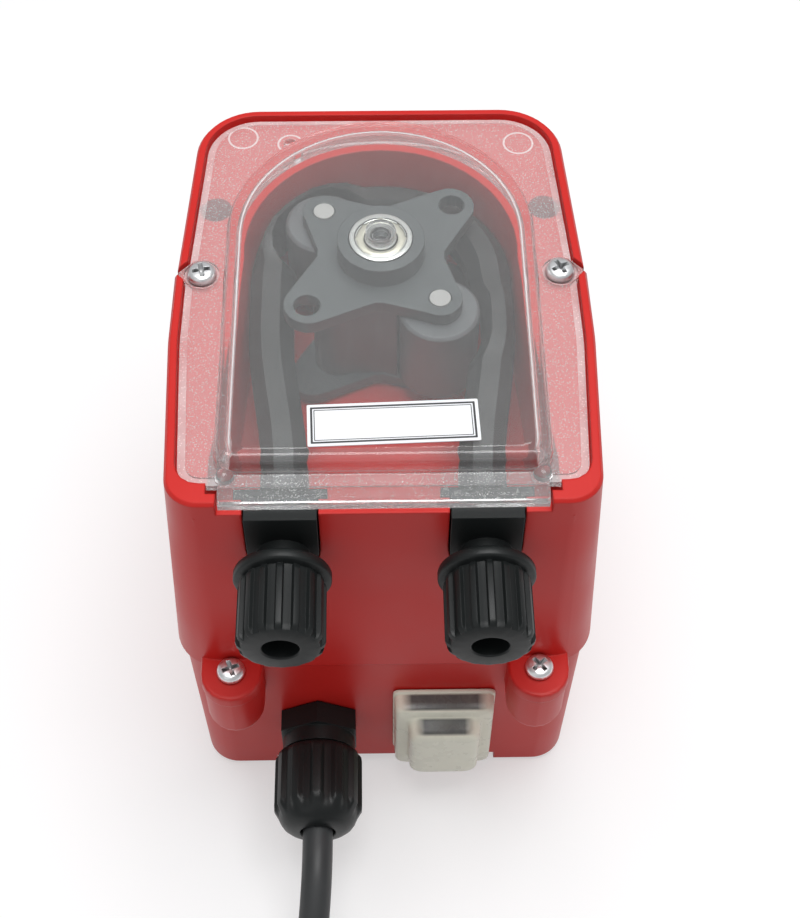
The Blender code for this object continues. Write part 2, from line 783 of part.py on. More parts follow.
def cover_ear_outline(side, offset=0.0):
    """The pointed ear of the cover that carries a screw and breaks through the rim."""
    radius = COVER_EAR_RADIUS + offset
    tip = COVER_EAR_TIP_X + offset
    round_end = arc((COVER_SCREW_X, COVER_SCREW_Y), radius, 60, 300, 12)
    outline = [(tip, COVER_SCREW_Y - 0.5), (tip, COVER_SCREW_Y + 0.5)] + round_end
    return [(side * x, y) for x, y in outline]


def make_rear_housing():
    """The rear half: closed at the back, with the bracket recess, four screw bosses and a joint lip."""
    shell = loft(
        "rear_housing",
        [
            rear_outline(0.0, REAR_ROUNDING),
            rear_outline(REAR_ROUNDING * 0.3, REAR_ROUNDING * 0.3),
            rear_outline(REAR_ROUNDING),
            rear_outline(REAR_TOP_Z),
        ],
        "red_plastic",
    )
    lip_inset = WALL + RUNNING_GAP
    lip = loft(
        "joint_lip",
        [
            at_height(housing_outline(1.0, lip_inset), REAR_TOP_Z - 4.0),
            at_height(housing_outline(flare_at(SPLIT_Z + LIP_HEIGHT), lip_inset), SPLIT_Z + LIP_HEIGHT),
        ],
    )
    hollow_top = SPLIT_Z + LIP_HEIGHT + 2
    hollow = loft(
        "rear_hollow",
        [
            rear_outline(BACK_WALL, REAR_WALL),
            at_height(housing_outline(1.0, lip_inset + LIP_WALL), REAR_TOP_Z - 4.0),
            at_height(housing_outline(1.0, lip_inset + LIP_WALL), hollow_top),
        ],
    )
    recess_cover = box(
        "recess_cover",
        (-RECESS_HALF_WIDTH - WALL, REAR_WALL_Y + 1.0, BACK_WALL / 2),
        (RECESS_HALF_WIDTH + WALL, RECESS_TOP_Y + WALL, RECESS_DEPTH + WALL),
    )
    join(shell, lip)
    cut(shell, hollow)
    join(shell, recess_cover)
    for side, name in ((-1, "left"), (1, "right")):
        boss = loft(
            f"ear_boss_{name}",
            [
                at_height(ear_outline(side, 2.4), REAR_TOP_Z - EAR_BOSS_LENGTH),
                at_height(ear_outline(side, 0.8), REAR_TOP_Z - EAR_BOSS_LENGTH + 0.8),
                at_height(ear_outline(side, 0.3), REAR_TOP_Z - EAR_BOSS_LENGTH + 2.4),
                at_height(ear_outline(side, 0.3), REAR_TOP_Z),
            ],
        )
        post = cylinder(
            f"rear_post_{name}",
            UPPER_POST_RADIUS,
            BACK_WALL - 1.0,
            REAR_TOP_Z,
            at=(side * UPPER_SCREW_X, UPPER_SCREW_Y, 0),
        )
        join(shell, boss, post)
    for side, name in ((-1, "left"), (1, "right")):
        for hole, x, y in (("ear", EAR_SCREW_X, EAR_SCREW_Y), ("post", UPPER_SCREW_X, UPPER_SCREW_Y)):
            cut(
                shell,
                cylinder(
                    f"rear_{hole}_hole_{name}",
                    SCREW_SHANK_RADIUS + RUNNING_GAP,
                    SPLIT_Z + EAR_THICKNESS - HOUSING_SCREW_LENGTH - 0.5,
                    REAR_TOP_Z + 8,
                    at=(side * x, y, 0),
                ),
            )
    cut_rear_openings(shell)
    return shell


def cut_rear_openings(shell):
    recess = box(
        "bracket_recess",
        (-RECESS_HALF_WIDTH, REAR_WALL_Y - 5, -5),
        (RECESS_HALF_WIDTH, RECESS_TOP_Y, RECESS_DEPTH),
    )
    gland_hole = cylinder(
        "gland_hole",
        GLAND_THREAD_RADIUS + SEAT_GAP,
        REAR_WALL_Y - 5,
        REAR_WALL_Y + 12,
        at=(GLAND_X, 0, GLAND_Z),
        axis="Y",
    )
    switch_hole = wall_plate(
        "switch_hole",
        rounded_rectangle(
            -SWITCH_BODY_WIDTH / 2 - SEAT_GAP,
            SWITCH_BODY_WIDTH / 2 + SEAT_GAP,
            -SWITCH_BODY_HEIGHT / 2 - SEAT_GAP,
            SWITCH_BODY_HEIGHT / 2 + SEAT_GAP,
            0.8,
            2,
        ),
        REAR_WALL_Y - 5,
        REAR_WALL_Y + 12,
        at=(SWITCH_X, 0, SWITCH_Z),
    )
    cut(shell, recess, gland_hole, switch_hole)


def make_cover():
    """The clear cover: a flat flange with a raised dome, a front lip and a spigot for the bearing."""
    inset = RIM_WALL + FLANGE_SIDE_GAP
    cover = plate(
        "cover",
        [housing_outline(0.0, inset, bottom_y=FLANGE_END_Y)],
        FLANGE_BOTTOM_Z,
        FLANGE_TOP_Z - FLANGE_BAND_DROP,
        "clear_plastic",
    )
    field = plate(
        "cover_field",
        [housing_outline(0.0, inset + FLANGE_BAND, bottom_y=FLANGE_END_Y + FLANGE_BAND)],
        FLANGE_BOTTOM_Z + 0.5,
        FLANGE_TOP_Z,
    )
    lip = box(
        "cover_lip",
        (-LIP_HALF_WIDTH, LIP_END_Y, FLANGE_BOTTOM_Z),
        (LIP_HALF_WIDTH, DOME_END_Y + 3, FLANGE_TOP_Z),
    )
    bead = plate(
        "cover_lip_bead",
        [
            rounded_rectangle(
                -LIP_HALF_WIDTH, LIP_HALF_WIDTH, LIP_END_Y, LIP_END_Y + LIP_BEAD_WIDTH, 0.9, 3
            )
        ],
        FLANGE_TOP_Z - 1.0,
        FLANGE_TOP_Z + LIP_BEAD_RISE,
    )
    dome = loft("cover_dome", dome_sections(0.0, DOME_TOP_Z))
    join(cover, field, lip, bead, dome)
    for side, name in ((-1, "left"), (1, "right")):
        ear = plate(
            f"cover_ear_{name}", [cover_ear_outline(side)], FLANGE_BOTTOM_Z, FLANGE_TOP_Z - 0.1
        )
        nub = turned(
            f"cover_nub_{name}",
            [(0, NUB_RADIUS * 0.9)]
            + [(x, y * 0.9) for x, y in arc((0, 0), NUB_RADIUS, 70, 0, 3)]
            + [(NUB_RADIUS, -1.5), (0, -1.5)],
            at=(side * NUB_X, DOME_END_Y - 0.4, FLANGE_TOP_Z),
            steps=12,
        )
        join(cover, ear, nub)
    hollow = loft("cover_hollow", [at_height(dome_loop(DOME_WALL), FLANGE_BOTTOM_Z - 2)] + dome_sections(
        DOME_WALL, DOME_TOP_Z - DOME_WALL))
    cut(cover, hollow)
    spigot = turned(
        "cover_spigot",
        [
            (0, DOME_TOP_Z - DOME_WALL / 2),
            (BEARING_BORE_RADIUS + 1.1, DOME_TOP_Z - DOME_WALL / 2),
            (BEARING_BORE_RADIUS + 1.1, BEARING_TOP_Z + SEAT_GAP),
            (BEARING_BORE_RADIUS - RUNNING_GAP, BEARING_TOP_Z + SEAT_GAP),
            (BEARING_BORE_RADIUS - RUNNING_GAP, BEARING_BOTTOM_Z + 0.8),
            (0, BEARING_BOTTOM_Z + 0.8),
        ],
        at=(0, PUMP_AXIS_Y, 0),
        steps=20,
    )
    join(cover, spigot)
    for side, name in ((-1, "left"), (1, "right")):
        hole = turned(
            f"cover_hole_{name}",
            [
                (0, FLANGE_TOP_Z + 2),
                (SCREW_HEAD_RADIUS + 0.7, FLANGE_TOP_Z + 2),
                (SCREW_HEAD_RADIUS + 0.7, FLANGE_TOP_Z - 0.7),
                (SCREW_SHANK_RADIUS + RUNNING_GAP, FLANGE_TOP_Z - 0.7),
                (SCREW_SHANK_RADIUS + RUNNING_GAP, FLANGE_BOTTOM_Z - 2),
                (0, FLANGE_BOTTOM_Z - 2),
            ],
            at=(side * COVER_SCREW_X, COVER_SCREW_Y, 0),
            steps=20,
        )
        cut(cover, hole)
    vent = cylinder(
        "cover_vent",
        VENT_HOLE_RADIUS,
        FLANGE_BOTTOM_Z - 2,
        FLANGE_TOP_Z + 2,
        at=(VENT_HOLE_X, VENT_HOLE_Y, 0),
        steps=16,
    )
    cut(cover, vent)
    return cover


def make_label():
    outline = rounded_rectangle(
        -LABEL_WIDTH / 2, LABEL_WIDTH / 2, -LABEL_HEIGHT / 2, LABEL_HEIGHT / 2, 0.3, 2
    )
    label = plate(
        "label", [outline], 0.0, LABEL_THICKNESS, "label_film", at=(LABEL_X, LABEL_Y, DOME_TOP_Z + 0.05)
    )
    label.rotation_euler.z = math.radians(LABEL_TURN)


def make_screw(name, at, length):
    """A pan-head screw with a cross recess. It stands on `at`, the underside of its head."""
    head = SCREW_HEAD_RADIUS
    profile = [
        (0, SCREW_HEAD_HEIGHT),
        (head * 0.55, SCREW_HEAD_HEIGHT * 0.93),
        (head * 0.88, SCREW_HEAD_HEIGHT * 0.66),
        (head, SCREW_HEAD_HEIGHT * 0.25),
        (head, 0),
        (SCREW_SHANK_RADIUS, 0),
        (SCREW_SHANK_RADIUS, -length + 1.2),
        (0.5, -length),
        (0, -length),
    ]
    screw = turned(name, profile, "zinc_steel", at, steps=12)
    for turn in (0, 1):
        half = (DRIVE_SLOT / 2, DRIVE_SLOT_WIDTH / 2)
        x, y = half if turn == 0 else half[::-1]
        slot = box(
            f"{name}_slot_{turn}",
            (-x, -y, SCREW_HEAD_HEIGHT - DRIVE_SLOT_DEPTH),
            (x, y, SCREW_HEAD_HEIGHT + 1),
            at=at,
        )
        cut(screw, slot)
    return screw


def make_screws():
    for side, name in ((-1, "left"), (1, "right")):
        make_screw(
            f"cover_screw_{name}",
            (side * COVER_SCREW_X, COVER_SCREW_Y, FLANGE_TOP_Z - 0.7 + SEAT_GAP),
            COVER_SCREW_LENGTH,
        )
        make_screw(
            f"housing_screw_upper_{name}",
            (side * UPPER_SCREW_X, UPPER_SCREW_Y, UPPER_SEAT_Z + SEAT_GAP),
            UPPER_SEAT_Z - SPLIT_Z - EAR_THICKNESS + HOUSING_SCREW_LENGTH,
        )
        make_screw(
            f"housing_screw_lower_{name}",
            (side * EAR_SCREW_X, EAR_SCREW_Y, SPLIT_Z + EAR_THICKNESS + SEAT_GAP),
            HOUSING_SCREW_LENGTH,
        )


def rotor_outline(guide_circle, notch=NOTCH_CIRCLE):
    """The X of the rotor: four lobes joined by shallow notches. Angles run round the pump axis."""
    arms = [
        (GUIDE_ARM_ANGLE, guide_circle, GUIDE_LOBE_RADIUS),
        (ROLLER_ARM_ANGLE, PIN_CIRCLE, ROLLER_LOBE_RADIUS),
        (GUIDE_ARM_ANGLE + 180, guide_circle, GUIDE_LOBE_RADIUS),
        (ROLLER_ARM_ANGLE + 180, PIN_CIRCLE, ROLLER_LOBE_RADIUS),
    ]
    points = []
    for i, (angle, circle, radius) in enumerate(arms):
        following = arms[(i + 1) % 4][0] + (360 if i == 3 else 0)
        middle = (angle + following) / 2
        points += arc(polar(circle, angle), radius, angle - 78, angle + 78, 8)
        points += [polar(notch, middle - 4), polar(notch, middle + 4)]
    return points


def make_rotor():
    """The rotor: hub, top and bottom X plates, and a core between them with a pocket for each roller."""
    here = (0, PUMP_AXIS_Y, 0)
    whole = rotor_outline(GUIDE_LOBE_CIRCLE)
    rotor = plate("rotor_frame", [whole], ROTOR_TOP_Z - ROTOR_PLATE, ROTOR_TOP_Z, "grey_plastic", here)
    bottom = plate("rotor_bottom", [whole], ROTOR_BOTTOM_Z, ROTOR_BOTTOM_Z + ROTOR_PLATE, at=here)
    core = make_rotor_core(here)
    hub = cylinder("rotor_hub", HUB_RADIUS, ROTOR_TOP_Z - 1, BEARING_TOP_Z - 0.3, at=here, steps=32)
    join(rotor, bottom, core, hub)
    seat = cylinder(
        "bearing_seat",
        BEARING_OUTER_RADIUS + SEAT_GAP / 2,
        BEARING_BOTTOM_Z - SEAT_GAP,
        BEARING_TOP_Z + 3,
        at=here,
        steps=32,
    )
    bore = cylinder(
        "shaft_bore",
        SHAFT_RADIUS + RUNNING_GAP,
        ROTOR_BOTTOM_Z - 3,
        BEARING_BOTTOM_Z - 3.5,
        at=here,
    )
    cut(rotor, seat, bore)
    for turn in (0, 180):
        pin_x, pin_y = polar(PIN_CIRCLE, ROLLER_ARM_ANGLE + turn)
        guide_x, guide_y = polar(GUIDE_CIRCLE, GUIDE_ARM_ANGLE + turn)
        pin_hole = cylinder(
            f"pin_hole_{turn}",
            PIN_RADIUS + SEAT_GAP / 2,
            ROTOR_BOTTOM_Z - 3,
            ROTOR_TOP_Z + 3,
            at=(pin_x, PUMP_AXIS_Y + pin_y, 0),
            steps=16,
        )
        guide_hole = cylinder(
            f"guide_hole_{turn}",
            GUIDE_HOLE_RADIUS,
            ROTOR_TOP_Z - ROTOR_PLATE - 2,
            ROTOR_TOP_Z + 3,
            at=(guide_x, PUMP_AXIS_Y + guide_y, 0),
            steps=20,
        )
        cut(rotor, pin_hole, guide_hole)
    return rotor


def make_rotor_core(here):
    """The block between the two X plates, hollowed where each roller runs."""
    core = plate(
        "rotor_core",
        [rotor_outline(GUIDE_WEB_RADIUS - GUIDE_LOBE_RADIUS, NOTCH_CIRCLE - 0.5)],
        ROTOR_BOTTOM_Z + 1,
        ROTOR_TOP_Z - 1,
        at=here,
    )
    for index in (0, 1):
        pocket = cylinder(
            f"roller_pocket_{index}",
            ROLLER_POCKET_RADIUS,
            ROTOR_BOTTOM_Z - 2,
            ROTOR_TOP_Z + 2,
            at=(*roller_centre(index), 0),
            steps=28,
        )
        cut(core, pocket)
    return core


def roller_centre(index):
    x, y = polar(PIN_CIRCLE, ROLLER_ARM_ANGLE + 180 * index)
    return (x, PUMP_AXIS_Y + y)


def make_rollers():
    """Two plain rollers with a small edge rounding, each on its own pin through both rotor plates."""
    low = ROTOR_BOTTOM_Z + ROTOR_PLATE + SEAT_GAP
    high = ROTOR_TOP_Z - ROTOR_PLATE - SEAT_GAP
    bore = PIN_RADIUS + RUNNING_GAP
    for index in (0, 1):
        x, y = roller_centre(index)
        profile = [
            (bore, high),
            (ROLLER_RADIUS - 0.6, high),
            (ROLLER_RADIUS, high - 0.6),
            (ROLLER_RADIUS, low + 0.6),
            (ROLLER_RADIUS - 0.6, low),
            (bore, low),
        ]
        turned(f"roller_{index + 1}", profile, "roller_plastic", (x, y, 0), steps=30, ring=True)
        cylinder(
            f"roller_pin_{index + 1}",
            PIN_RADIUS,
            ROTOR_BOTTOM_Z + 0.4,
            ROTOR_TOP_Z + PIN_STAND,
            "pin_steel",
            (x, y, 0),
            steps=16,
        )


def make_bearing():
    """The shielded ball bearing: outer ring, inner ring, ball cage and front shield."""
    here = (0, PUMP_AXIS_Y, 0)
    low, high = BEARING_BOTTOM_Z, BEARING_TOP_Z
    outer_inside = BEARING_OUTER_RADIUS - BEARING_OUTER_WALL
    inner_outside = BEARING_BORE_RADIUS + BEARING_INNER_WALL
    track = (outer_inside + inner_outside) / 2
    washer(
        "bearing_outer_ring", outer_inside, BEARING_OUTER_RADIUS, low, high, "bearing_steel", here, steps=32
    )
    washer(
        "bearing_inner_ring", BEARING_BORE_RADIUS, inner_outside, low, high, "bearing_steel", here, steps=24
    )
    washer(
        "bearing_shield",
        inner_outside + RUNNING_GAP,
        outer_inside - 0.1,
        high - 0.6,
        high - 0.3,
        "bearing_steel",
        here,
        steps=28,
    )
    cage = washer(
        "bearing_ball_cage", track - 0.35, track + 0.35, low + 2.0, high - 2.0, "bearing_steel", here, steps=28
    )
    for i in range(BALL_COUNT):
        x, y = polar(track, 360 / BALL_COUNT * i)
        profile = [(0, BALL_RADIUS)] + arc((0, 0), BALL_RADIUS, 50, -50, 2) + [(0, -BALL_RADIUS)]
        join(cage, turned(f"ball_{i}", profile, at=(x, PUMP_AXIS_Y + y, (low + high) / 2), steps=6))


def tube_centre_line():
    """Stations of the tube, each a point and the unit direction to the wall, from left to right.

    The tube runs straight in from the left connector, bends to the race, goes round it and back.
    """
    spacing = 3.2
    radius = RACE_RADIUS - SEAT_GAP - TUBE_RADIUS
    start_y = CHAMBER_END_Y + CONNECTOR_FLANGE_THICKNESS + SEAT_GAP + 0.4
    straight_end = start_y + 8.0
    bend_end = PUMP_AXIS_Y - 12.0
    side = []
    count = round((PUMP_AXIS_Y - start_y) / spacing)
    for i in range(count):
        y = start_y + (PUMP_AXIS_Y - start_y) * i / count
        share = min(1.0, max(0.0, (y - straight_end) / (bend_end - straight_end)))
        x = CONNECTOR_X + (radius - CONNECTOR_X) * (1 - math.cos(math.pi * share)) / 2
        side.append((x, y))
    left = [((-x, y), (-1.0, 0.0)) for x, y in side]
    right = [((x, y), (1.0, 0.0)) for x, y in reversed(side)]
    turns = round(math.pi * radius / spacing)
    race = []
    for i in range(turns + 1):
        out = polar(1.0, 180 - 180 * i / turns)
        race.append(((out[0] * radius, PUMP_AXIS_Y + out[1] * radius), out))
    return left + race + right


def room_at(point, out):
    """The space for the tube between its wall side and the nearest roller, up to its own diameter."""
    room = 2 * TUBE_RADIUS
    wall = Vector(point) + Vector(out) * TUBE_RADIUS
    for index in (0, 1):
        to_roller = Vector(roller_centre(index)) - wall
        along = -to_roller.dot(Vector(out))
        across = to_roller.length_squared - along**2
        reach = (ROLLER_RADIUS + SEAT_GAP) ** 2 - across
        if reach > 0 and along > 0:
            room = min(room, along - math.sqrt(reach))
    return room


def make_pump_tube():
    """The elastic tube in the race, squeezed flat where the two rollers stand at rest."""
    line = tube_centre_line()
    rooms = [room_at(point, out) for point, out in line]
    sides = 8
    outer, inner = [], []
    for i, (point, out) in enumerate(line):
        room = min(rooms[max(0, i - 1) : i + 2])
        half = room / 2
        centre = Vector(point) + Vector(out) * (TUBE_RADIUS - half)
        wide = TUBE_RADIUS + TUBE_SPREAD * (TUBE_RADIUS - half)
        bore = max(half - TUBE_WALL, 0.15)
        bore_wide = wide - TUBE_WALL
        for ring, across, along in ((outer, half, wide), (inner, bore, bore_wide)):
            section = []
            for step in range(sides):
                u, w = polar(1.0, 360 / sides * (step + 0.5))
                section.append(
                    (centre.x + out[0] * across * u, centre.y + out[1] * across * u, TUBE_Z + along * w)
                )
            ring.append(section)
    loft("pump_tube", outer + inner[::-1], "tube_rubber", closed=True)


def make_connector(side, name):
    """A tube connector: a block in the wall's slot, a spigot inside and a threaded stem outside."""
    at = (side * CONNECTOR_X, 0, TUBE_Z)
    top = FLANGE_BOTTOM_Z - 2 * SEAT_GAP
    chamber_y = CHAMBER_END_Y + SEAT_GAP
    inside_y = chamber_y + CONNECTOR_FLANGE_THICKNESS
    body = wall_plate(
        f"connector_{name}",
        slot_outline(-SEAT_GAP, top),
        CONNECTOR_FRONT_Y,
        chamber_y + 1.0,
        "black_plastic",
        at,
    )
    flange = wall_plate(
        f"connector_flange_{name}", slot_outline(CONNECTOR_FLANGE, top), chamber_y, inside_y, at=at
    )
    stem = turned(
        f"connector_stem_{name}",
        [
            (0, -THREAD_END_Y + NIPPLE_LENGTH),
            (NIPPLE_RADIUS - 0.3, -THREAD_END_Y + NIPPLE_LENGTH),
            (NIPPLE_RADIUS, -THREAD_END_Y + NIPPLE_LENGTH - 0.6),
            (NIPPLE_RADIUS, -THREAD_END_Y),
            (THREAD_RADIUS - 0.5, -THREAD_END_Y),
            (THREAD_RADIUS, -THREAD_END_Y - 0.6),
            (THREAD_RADIUS, -THREAD_END_Y - THREAD_LENGTH),
            (NECK_RADIUS, -THREAD_END_Y - THREAD_LENGTH),
            (NECK_RADIUS, -CONNECTOR_FRONT_Y - 1.0),
            (0, -CONNECTOR_FRONT_Y - 1.0),
        ],
        at=at,
        axis="-Y",
        steps=20,
    )
    spigot = turned(
        f"connector_spigot_{name}",
        [
            (0, inside_y + SPIGOT_LENGTH),
            (SPIGOT_RADIUS - 0.5, inside_y + SPIGOT_LENGTH),
            (SPIGOT_RADIUS, inside_y + SPIGOT_LENGTH - 1.5),
            (SPIGOT_RADIUS - 0.3, inside_y + SPIGOT_LENGTH - 2.5),
            (SPIGOT_RADIUS - 0.3, inside_y - 1.0),
            (0, inside_y - 1.0),
        ],
        at=at,
        axis="Y",
        steps=20,
    )
    bore = cylinder(
        f"connector_bore_{name}",
        CONNECTOR_BORE,
        THREAD_END_Y - NIPPLE_LENGTH - 5,
        inside_y + SPIGOT_LENGTH + 5,
        at=at,
        axis="Y",
        steps=12,
    )
    join(body, flange, stem, spigot)
    cut(body, bore)


def make_compression_nut(side, name):
    """The ribbed nut that clamps a hose on the connector's nipple, and the ferrule inside it."""
    at = (side * CONNECTOR_X, 0, TUBE_Z)
    start = -NUT_START_Y
    end = start + NUT_LENGTH
    thread = THREAD_RADIUS + SEAT_GAP
    thread_end = -THREAD_END_Y + SEAT_GAP + FERRULE_LENGTH + SEAT_GAP
    profile = [
        (NUT_HOLE_RADIUS, end),
        (NUT_RADIUS - 0.6, end),
        (NUT_RADIUS, end - 1.2),
        (NUT_RADIUS, start + 3.6),
        (NUT_FLANGE_RADIUS - 0.4, start + 3.4),
        (NUT_FLANGE_RADIUS, start + 3.0),
        (NUT_FLANGE_RADIUS, start + 3.4 - NUT_FLANGE_THICKNESS),
        (NUT_FLANGE_RADIUS - 0.5, start + 3.0 - NUT_FLANGE_THICKNESS),
        (NUT_SHOULDER_RADIUS, start),
        (thread, start),
        (thread, thread_end),
        (NUT_HOLE_RADIUS, thread_end + 1.2),
    ]
    nut = turned(f"compression_nut_{name}", profile, "black_plastic", at, "-Y", 32, ring=True)
    ribs = plate(
        f"nut_ribs_{name}",
        [rib_outline(), arc((0, 0), NUT_RADIUS - 0.8, 0, 345, 23)],
        start + NUT_RIB_START,
        end - 0.5,
        at=at,
        axis="-Y",
    )
    join(nut, ribs)
    ferrule_start = -THREAD_END_Y + SEAT_GAP
    washer(
        f"clamping_ferrule_{name}",
        FERRULE_BORE,
        FERRULE_RADIUS,
        ferrule_start,
        ferrule_start + FERRULE_LENGTH,
        "seal_rubber",
        at,
        "-Y",
        24,
    )


def rib_outline():
    """The nut's grip: ribs with slanted flanks, four points for each rib."""
    pitch = 360 / NUT_RIBS
    points = []
    for i in range(NUT_RIBS):
        middle = pitch * i
        points += [
            polar(NUT_RADIUS - 0.15, middle - pitch * 0.36),
            polar(NUT_RIB_RADIUS, middle - pitch * 0.22),
            polar(NUT_RIB_RADIUS, middle + pitch * 0.22),
            polar(NUT_RADIUS - 0.15, middle + pitch * 0.36),
        ]
    return points


def gear_outline(teeth, phase=0.0):
    """A spur gear with straight-flanked teeth and backlash, one tooth centred on the phase angle."""
    pitch = 360 / teeth
    radius = GEAR_MODULE * teeth / 2
    tip = radius + 0.85 * GEAR_MODULE
    root = radius - 1.15 * GEAR_MODULE
    points = []
    for i in range(teeth):
        middle = phase + pitch * i
        points += [
            polar(root, middle - pitch * 0.30),
            polar(tip, middle - pitch * 0.09),
            polar(tip, middle + pitch * 0.09),
            polar(root, middle + pitch * 0.30),
        ]
    return points


def direction(from_point, to_point):
    return math.degrees(math.atan2(to_point[1] - from_point[1], to_point[0] - from_point[0]))


def make_gear_train():
    """Motor pinion, double idler and output wheel, in two layers, and the output shaft."""
    output, idler, motor = (0, PUMP_AXIS_Y), (IDLER_X, IDLER_Y), (MOTOR_X, MOTOR_Y)
    upper_top = GEARBOX_TOP_Z - GEARBOX_WALL - SEAT_GAP
    upper_low = upper_top - WHEEL_THICKNESS
    lower_top = upper_low - LAYER_GAP
    lower_low = lower_top - WHEEL_THICKNESS
    to_idler = direction(output, idler)
    to_motor = direction(idler, motor)
    plate(
        "output_gear",
        [gear_outline(WHEEL_TEETH, to_idler), arc((0, 0), SHAFT_RADIUS + RUNNING_GAP, 0, 345, 23)],
        upper_low,
        upper_top,
        "gear_plastic",
        (*output, 0),
    )
    cylinder(
        "output_shaft",
        SHAFT_RADIUS,
        GEARBOX_BOTTOM_Z + 1.2,
        BEARING_BOTTOM_Z - 4.0,
        "pin_steel",
        (*output, 0),
    )
    idler_gear = plate(
        "idler_gear",
        [gear_outline(WHEEL_TEETH, to_motor)],
        lower_low,
        lower_top,
        "gear_plastic",
        (*idler, 0),
    )
    pinion_phase = to_idler + 180 + 180 / IDLER_PINION_TEETH
    small = plate(
        "idler_pinion",
        [gear_outline(IDLER_PINION_TEETH, pinion_phase)],
        lower_top - 1,
        upper_top,
        at=(*idler, 0),
    )
    bore = cylinder(
        "idler_bore", IDLER_PIN_RADIUS + RUNNING_GAP, lower_low - 2, upper_top + 2, at=(*idler, 0), steps=16
    )
    join(idler_gear, small)
    cut(idler_gear, bore)
    cylinder(
        "idler_pin",
        IDLER_PIN_RADIUS,
        GEARBOX_BOTTOM_Z + 0.6,
        GEARBOX_TOP_Z - 0.4,
        "pin_steel",
        (*idler, 0),
        steps=16,
    )
    motor_phase = to_motor + 180 + 180 / MOTOR_PINION_TEETH
    rotor = plate(
        "motor_rotor",
        [gear_outline(MOTOR_PINION_TEETH, motor_phase)],
        lower_low - 0.5,
        lower_top + 0.5,
        "zinc_steel",
        (*motor, 0),
    )
    spindle = cylinder(
        "motor_spindle",
        MOTOR_SHAFT_RADIUS,
        GEARBOX_BOTTOM_Z - MOTOR_SPINDLE_DEPTH,
        lower_low,
        at=(*motor, 0),
        steps=16,
    )
    join(rotor, spindle)


def gearbox_outline(inset=0.0):
    return rounded_rectangle(
        GEARBOX_X[0] + inset,
        GEARBOX_X[1] - inset,
        GEARBOX_Y[0] + inset,
        GEARBOX_Y[1] - inset,
        GEARBOX_CORNER - inset,
        3,
    )


def make_gearbox():
    """The gearbox: a tray with two screw lugs and a lid, with the bush of the output shaft."""
    motor = (MOTOR_X, MOTOR_Y, 0)
    lid_low = GEARBOX_TOP_Z - GEARBOX_WALL
    case = plate(
        "gearbox_case",
        [gearbox_outline()],
        GEARBOX_BOTTOM_Z,
        lid_low - SEAT_GAP,
        "black_plastic",
    )
    inside = plate(
        "gearbox_space", [gearbox_outline(GEARBOX_WALL)], GEARBOX_BOTTOM_Z + GEARBOX_WALL, lid_low + 3
    )
    spindle_hole = cylinder(
        "spindle_hole",
        MOTOR_SHAFT_RADIUS + 0.3,
        GEARBOX_BOTTOM_Z - 3,
        GEARBOX_BOTTOM_Z + GEARBOX_WALL + 3,
        at=motor,
        steps=16,
    )
    cut(case, inside)
    lid = plate("gearbox_lid", [gearbox_outline()], lid_low, GEARBOX_TOP_Z, "black_plastic")
    lid_hole = cylinder(
        "lid_hole", BUSH_RADIUS + SEAT_GAP, lid_low - 3, GEARBOX_TOP_Z + 3, at=(0, PUMP_AXIS_Y, 0)
    )
    idler_lid_seat = cylinder(
        "idler_lid_seat", IDLER_PIN_RADIUS + 0.1, lid_low - 2, GEARBOX_TOP_Z + 2, at=(IDLER_X, IDLER_Y, 0)
    )
    cut(lid, lid_hole, idler_lid_seat)
    holes = [spindle_hole]
    for name, radius, low, height, spot in (
        ("output_journal", SHAFT_RADIUS + 0.1, GEARBOX_BOTTOM_Z + 0.9, 2.6, (0, PUMP_AXIS_Y, 0)),
        ("idler_seat", IDLER_PIN_RADIUS + 0.1, GEARBOX_BOTTOM_Z + 0.3, 2.2, (IDLER_X, IDLER_Y, 0)),
    ):
        seat_top = GEARBOX_BOTTOM_Z + GEARBOX_WALL + height
        join(case, cylinder(f"{name}_pedestal", radius + 0.8, GEARBOX_BOTTOM_Z + 1, seat_top, at=spot))
        holes.append(cylinder(name, radius, low, seat_top + 2, at=spot, steps=20))
    for name, x, y in GEARBOX_SCREWS:
        spot = (x, y, 0)
        screw_hole = (SCREW_SHANK_RADIUS + RUNNING_GAP, GEARBOX_BOTTOM_Z - 3, GEARBOX_TOP_Z + 3)
        pillar = cylinder(f"gearbox_pillar_{name}", 3.2, GEARBOX_BOTTOM_Z + 1, lid_low - SEAT_GAP, at=spot)
        case_hole = cylinder(f"case_screw_hole_{name}", *screw_hole, at=spot, steps=16)
        lid_screw_hole = cylinder(f"lid_screw_hole_{name}", *screw_hole, at=spot, steps=16)
        join(case, pillar)
        holes.append(case_hole)
        cut(lid, lid_screw_hole)
        screw = make_screw(
            f"gearbox_screw_{name}",
            (x, y, -(GEARBOX_BOTTOM_Z - SEAT_GAP)),
            GEARBOX_HEIGHT + CHAMBER_FLOOR_WALL - 0.6,
        )
        turn_over(screw)
    cut(case, *holes)
    turned(
        "shaft_bush",
        [
            (SHAFT_RADIUS + 0.1, CHAMBER_FLOOR_Z - 0.3),
            (BUSH_RADIUS, CHAMBER_FLOOR_Z - 0.3),
            (BUSH_RADIUS, lid_low + 0.2),
            (SHAFT_RADIUS + 0.1, lid_low + 0.2),
        ],
        "bronze",
        (0, PUMP_AXIS_Y, 0),
        ring=True,
    )


def turn_over(screw):
    """Turns a screw, and the cutters of its cross recess, to point upwards."""
    flip = Matrix.Rotation(math.pi, 4, "Y")
    x = screw.location.x
    for obj in [screw] + [modifier.object for modifier in screw.modifiers]:
        obj.data.transform(flip)
        obj.location = (x, obj.location.y, -obj.location.z)


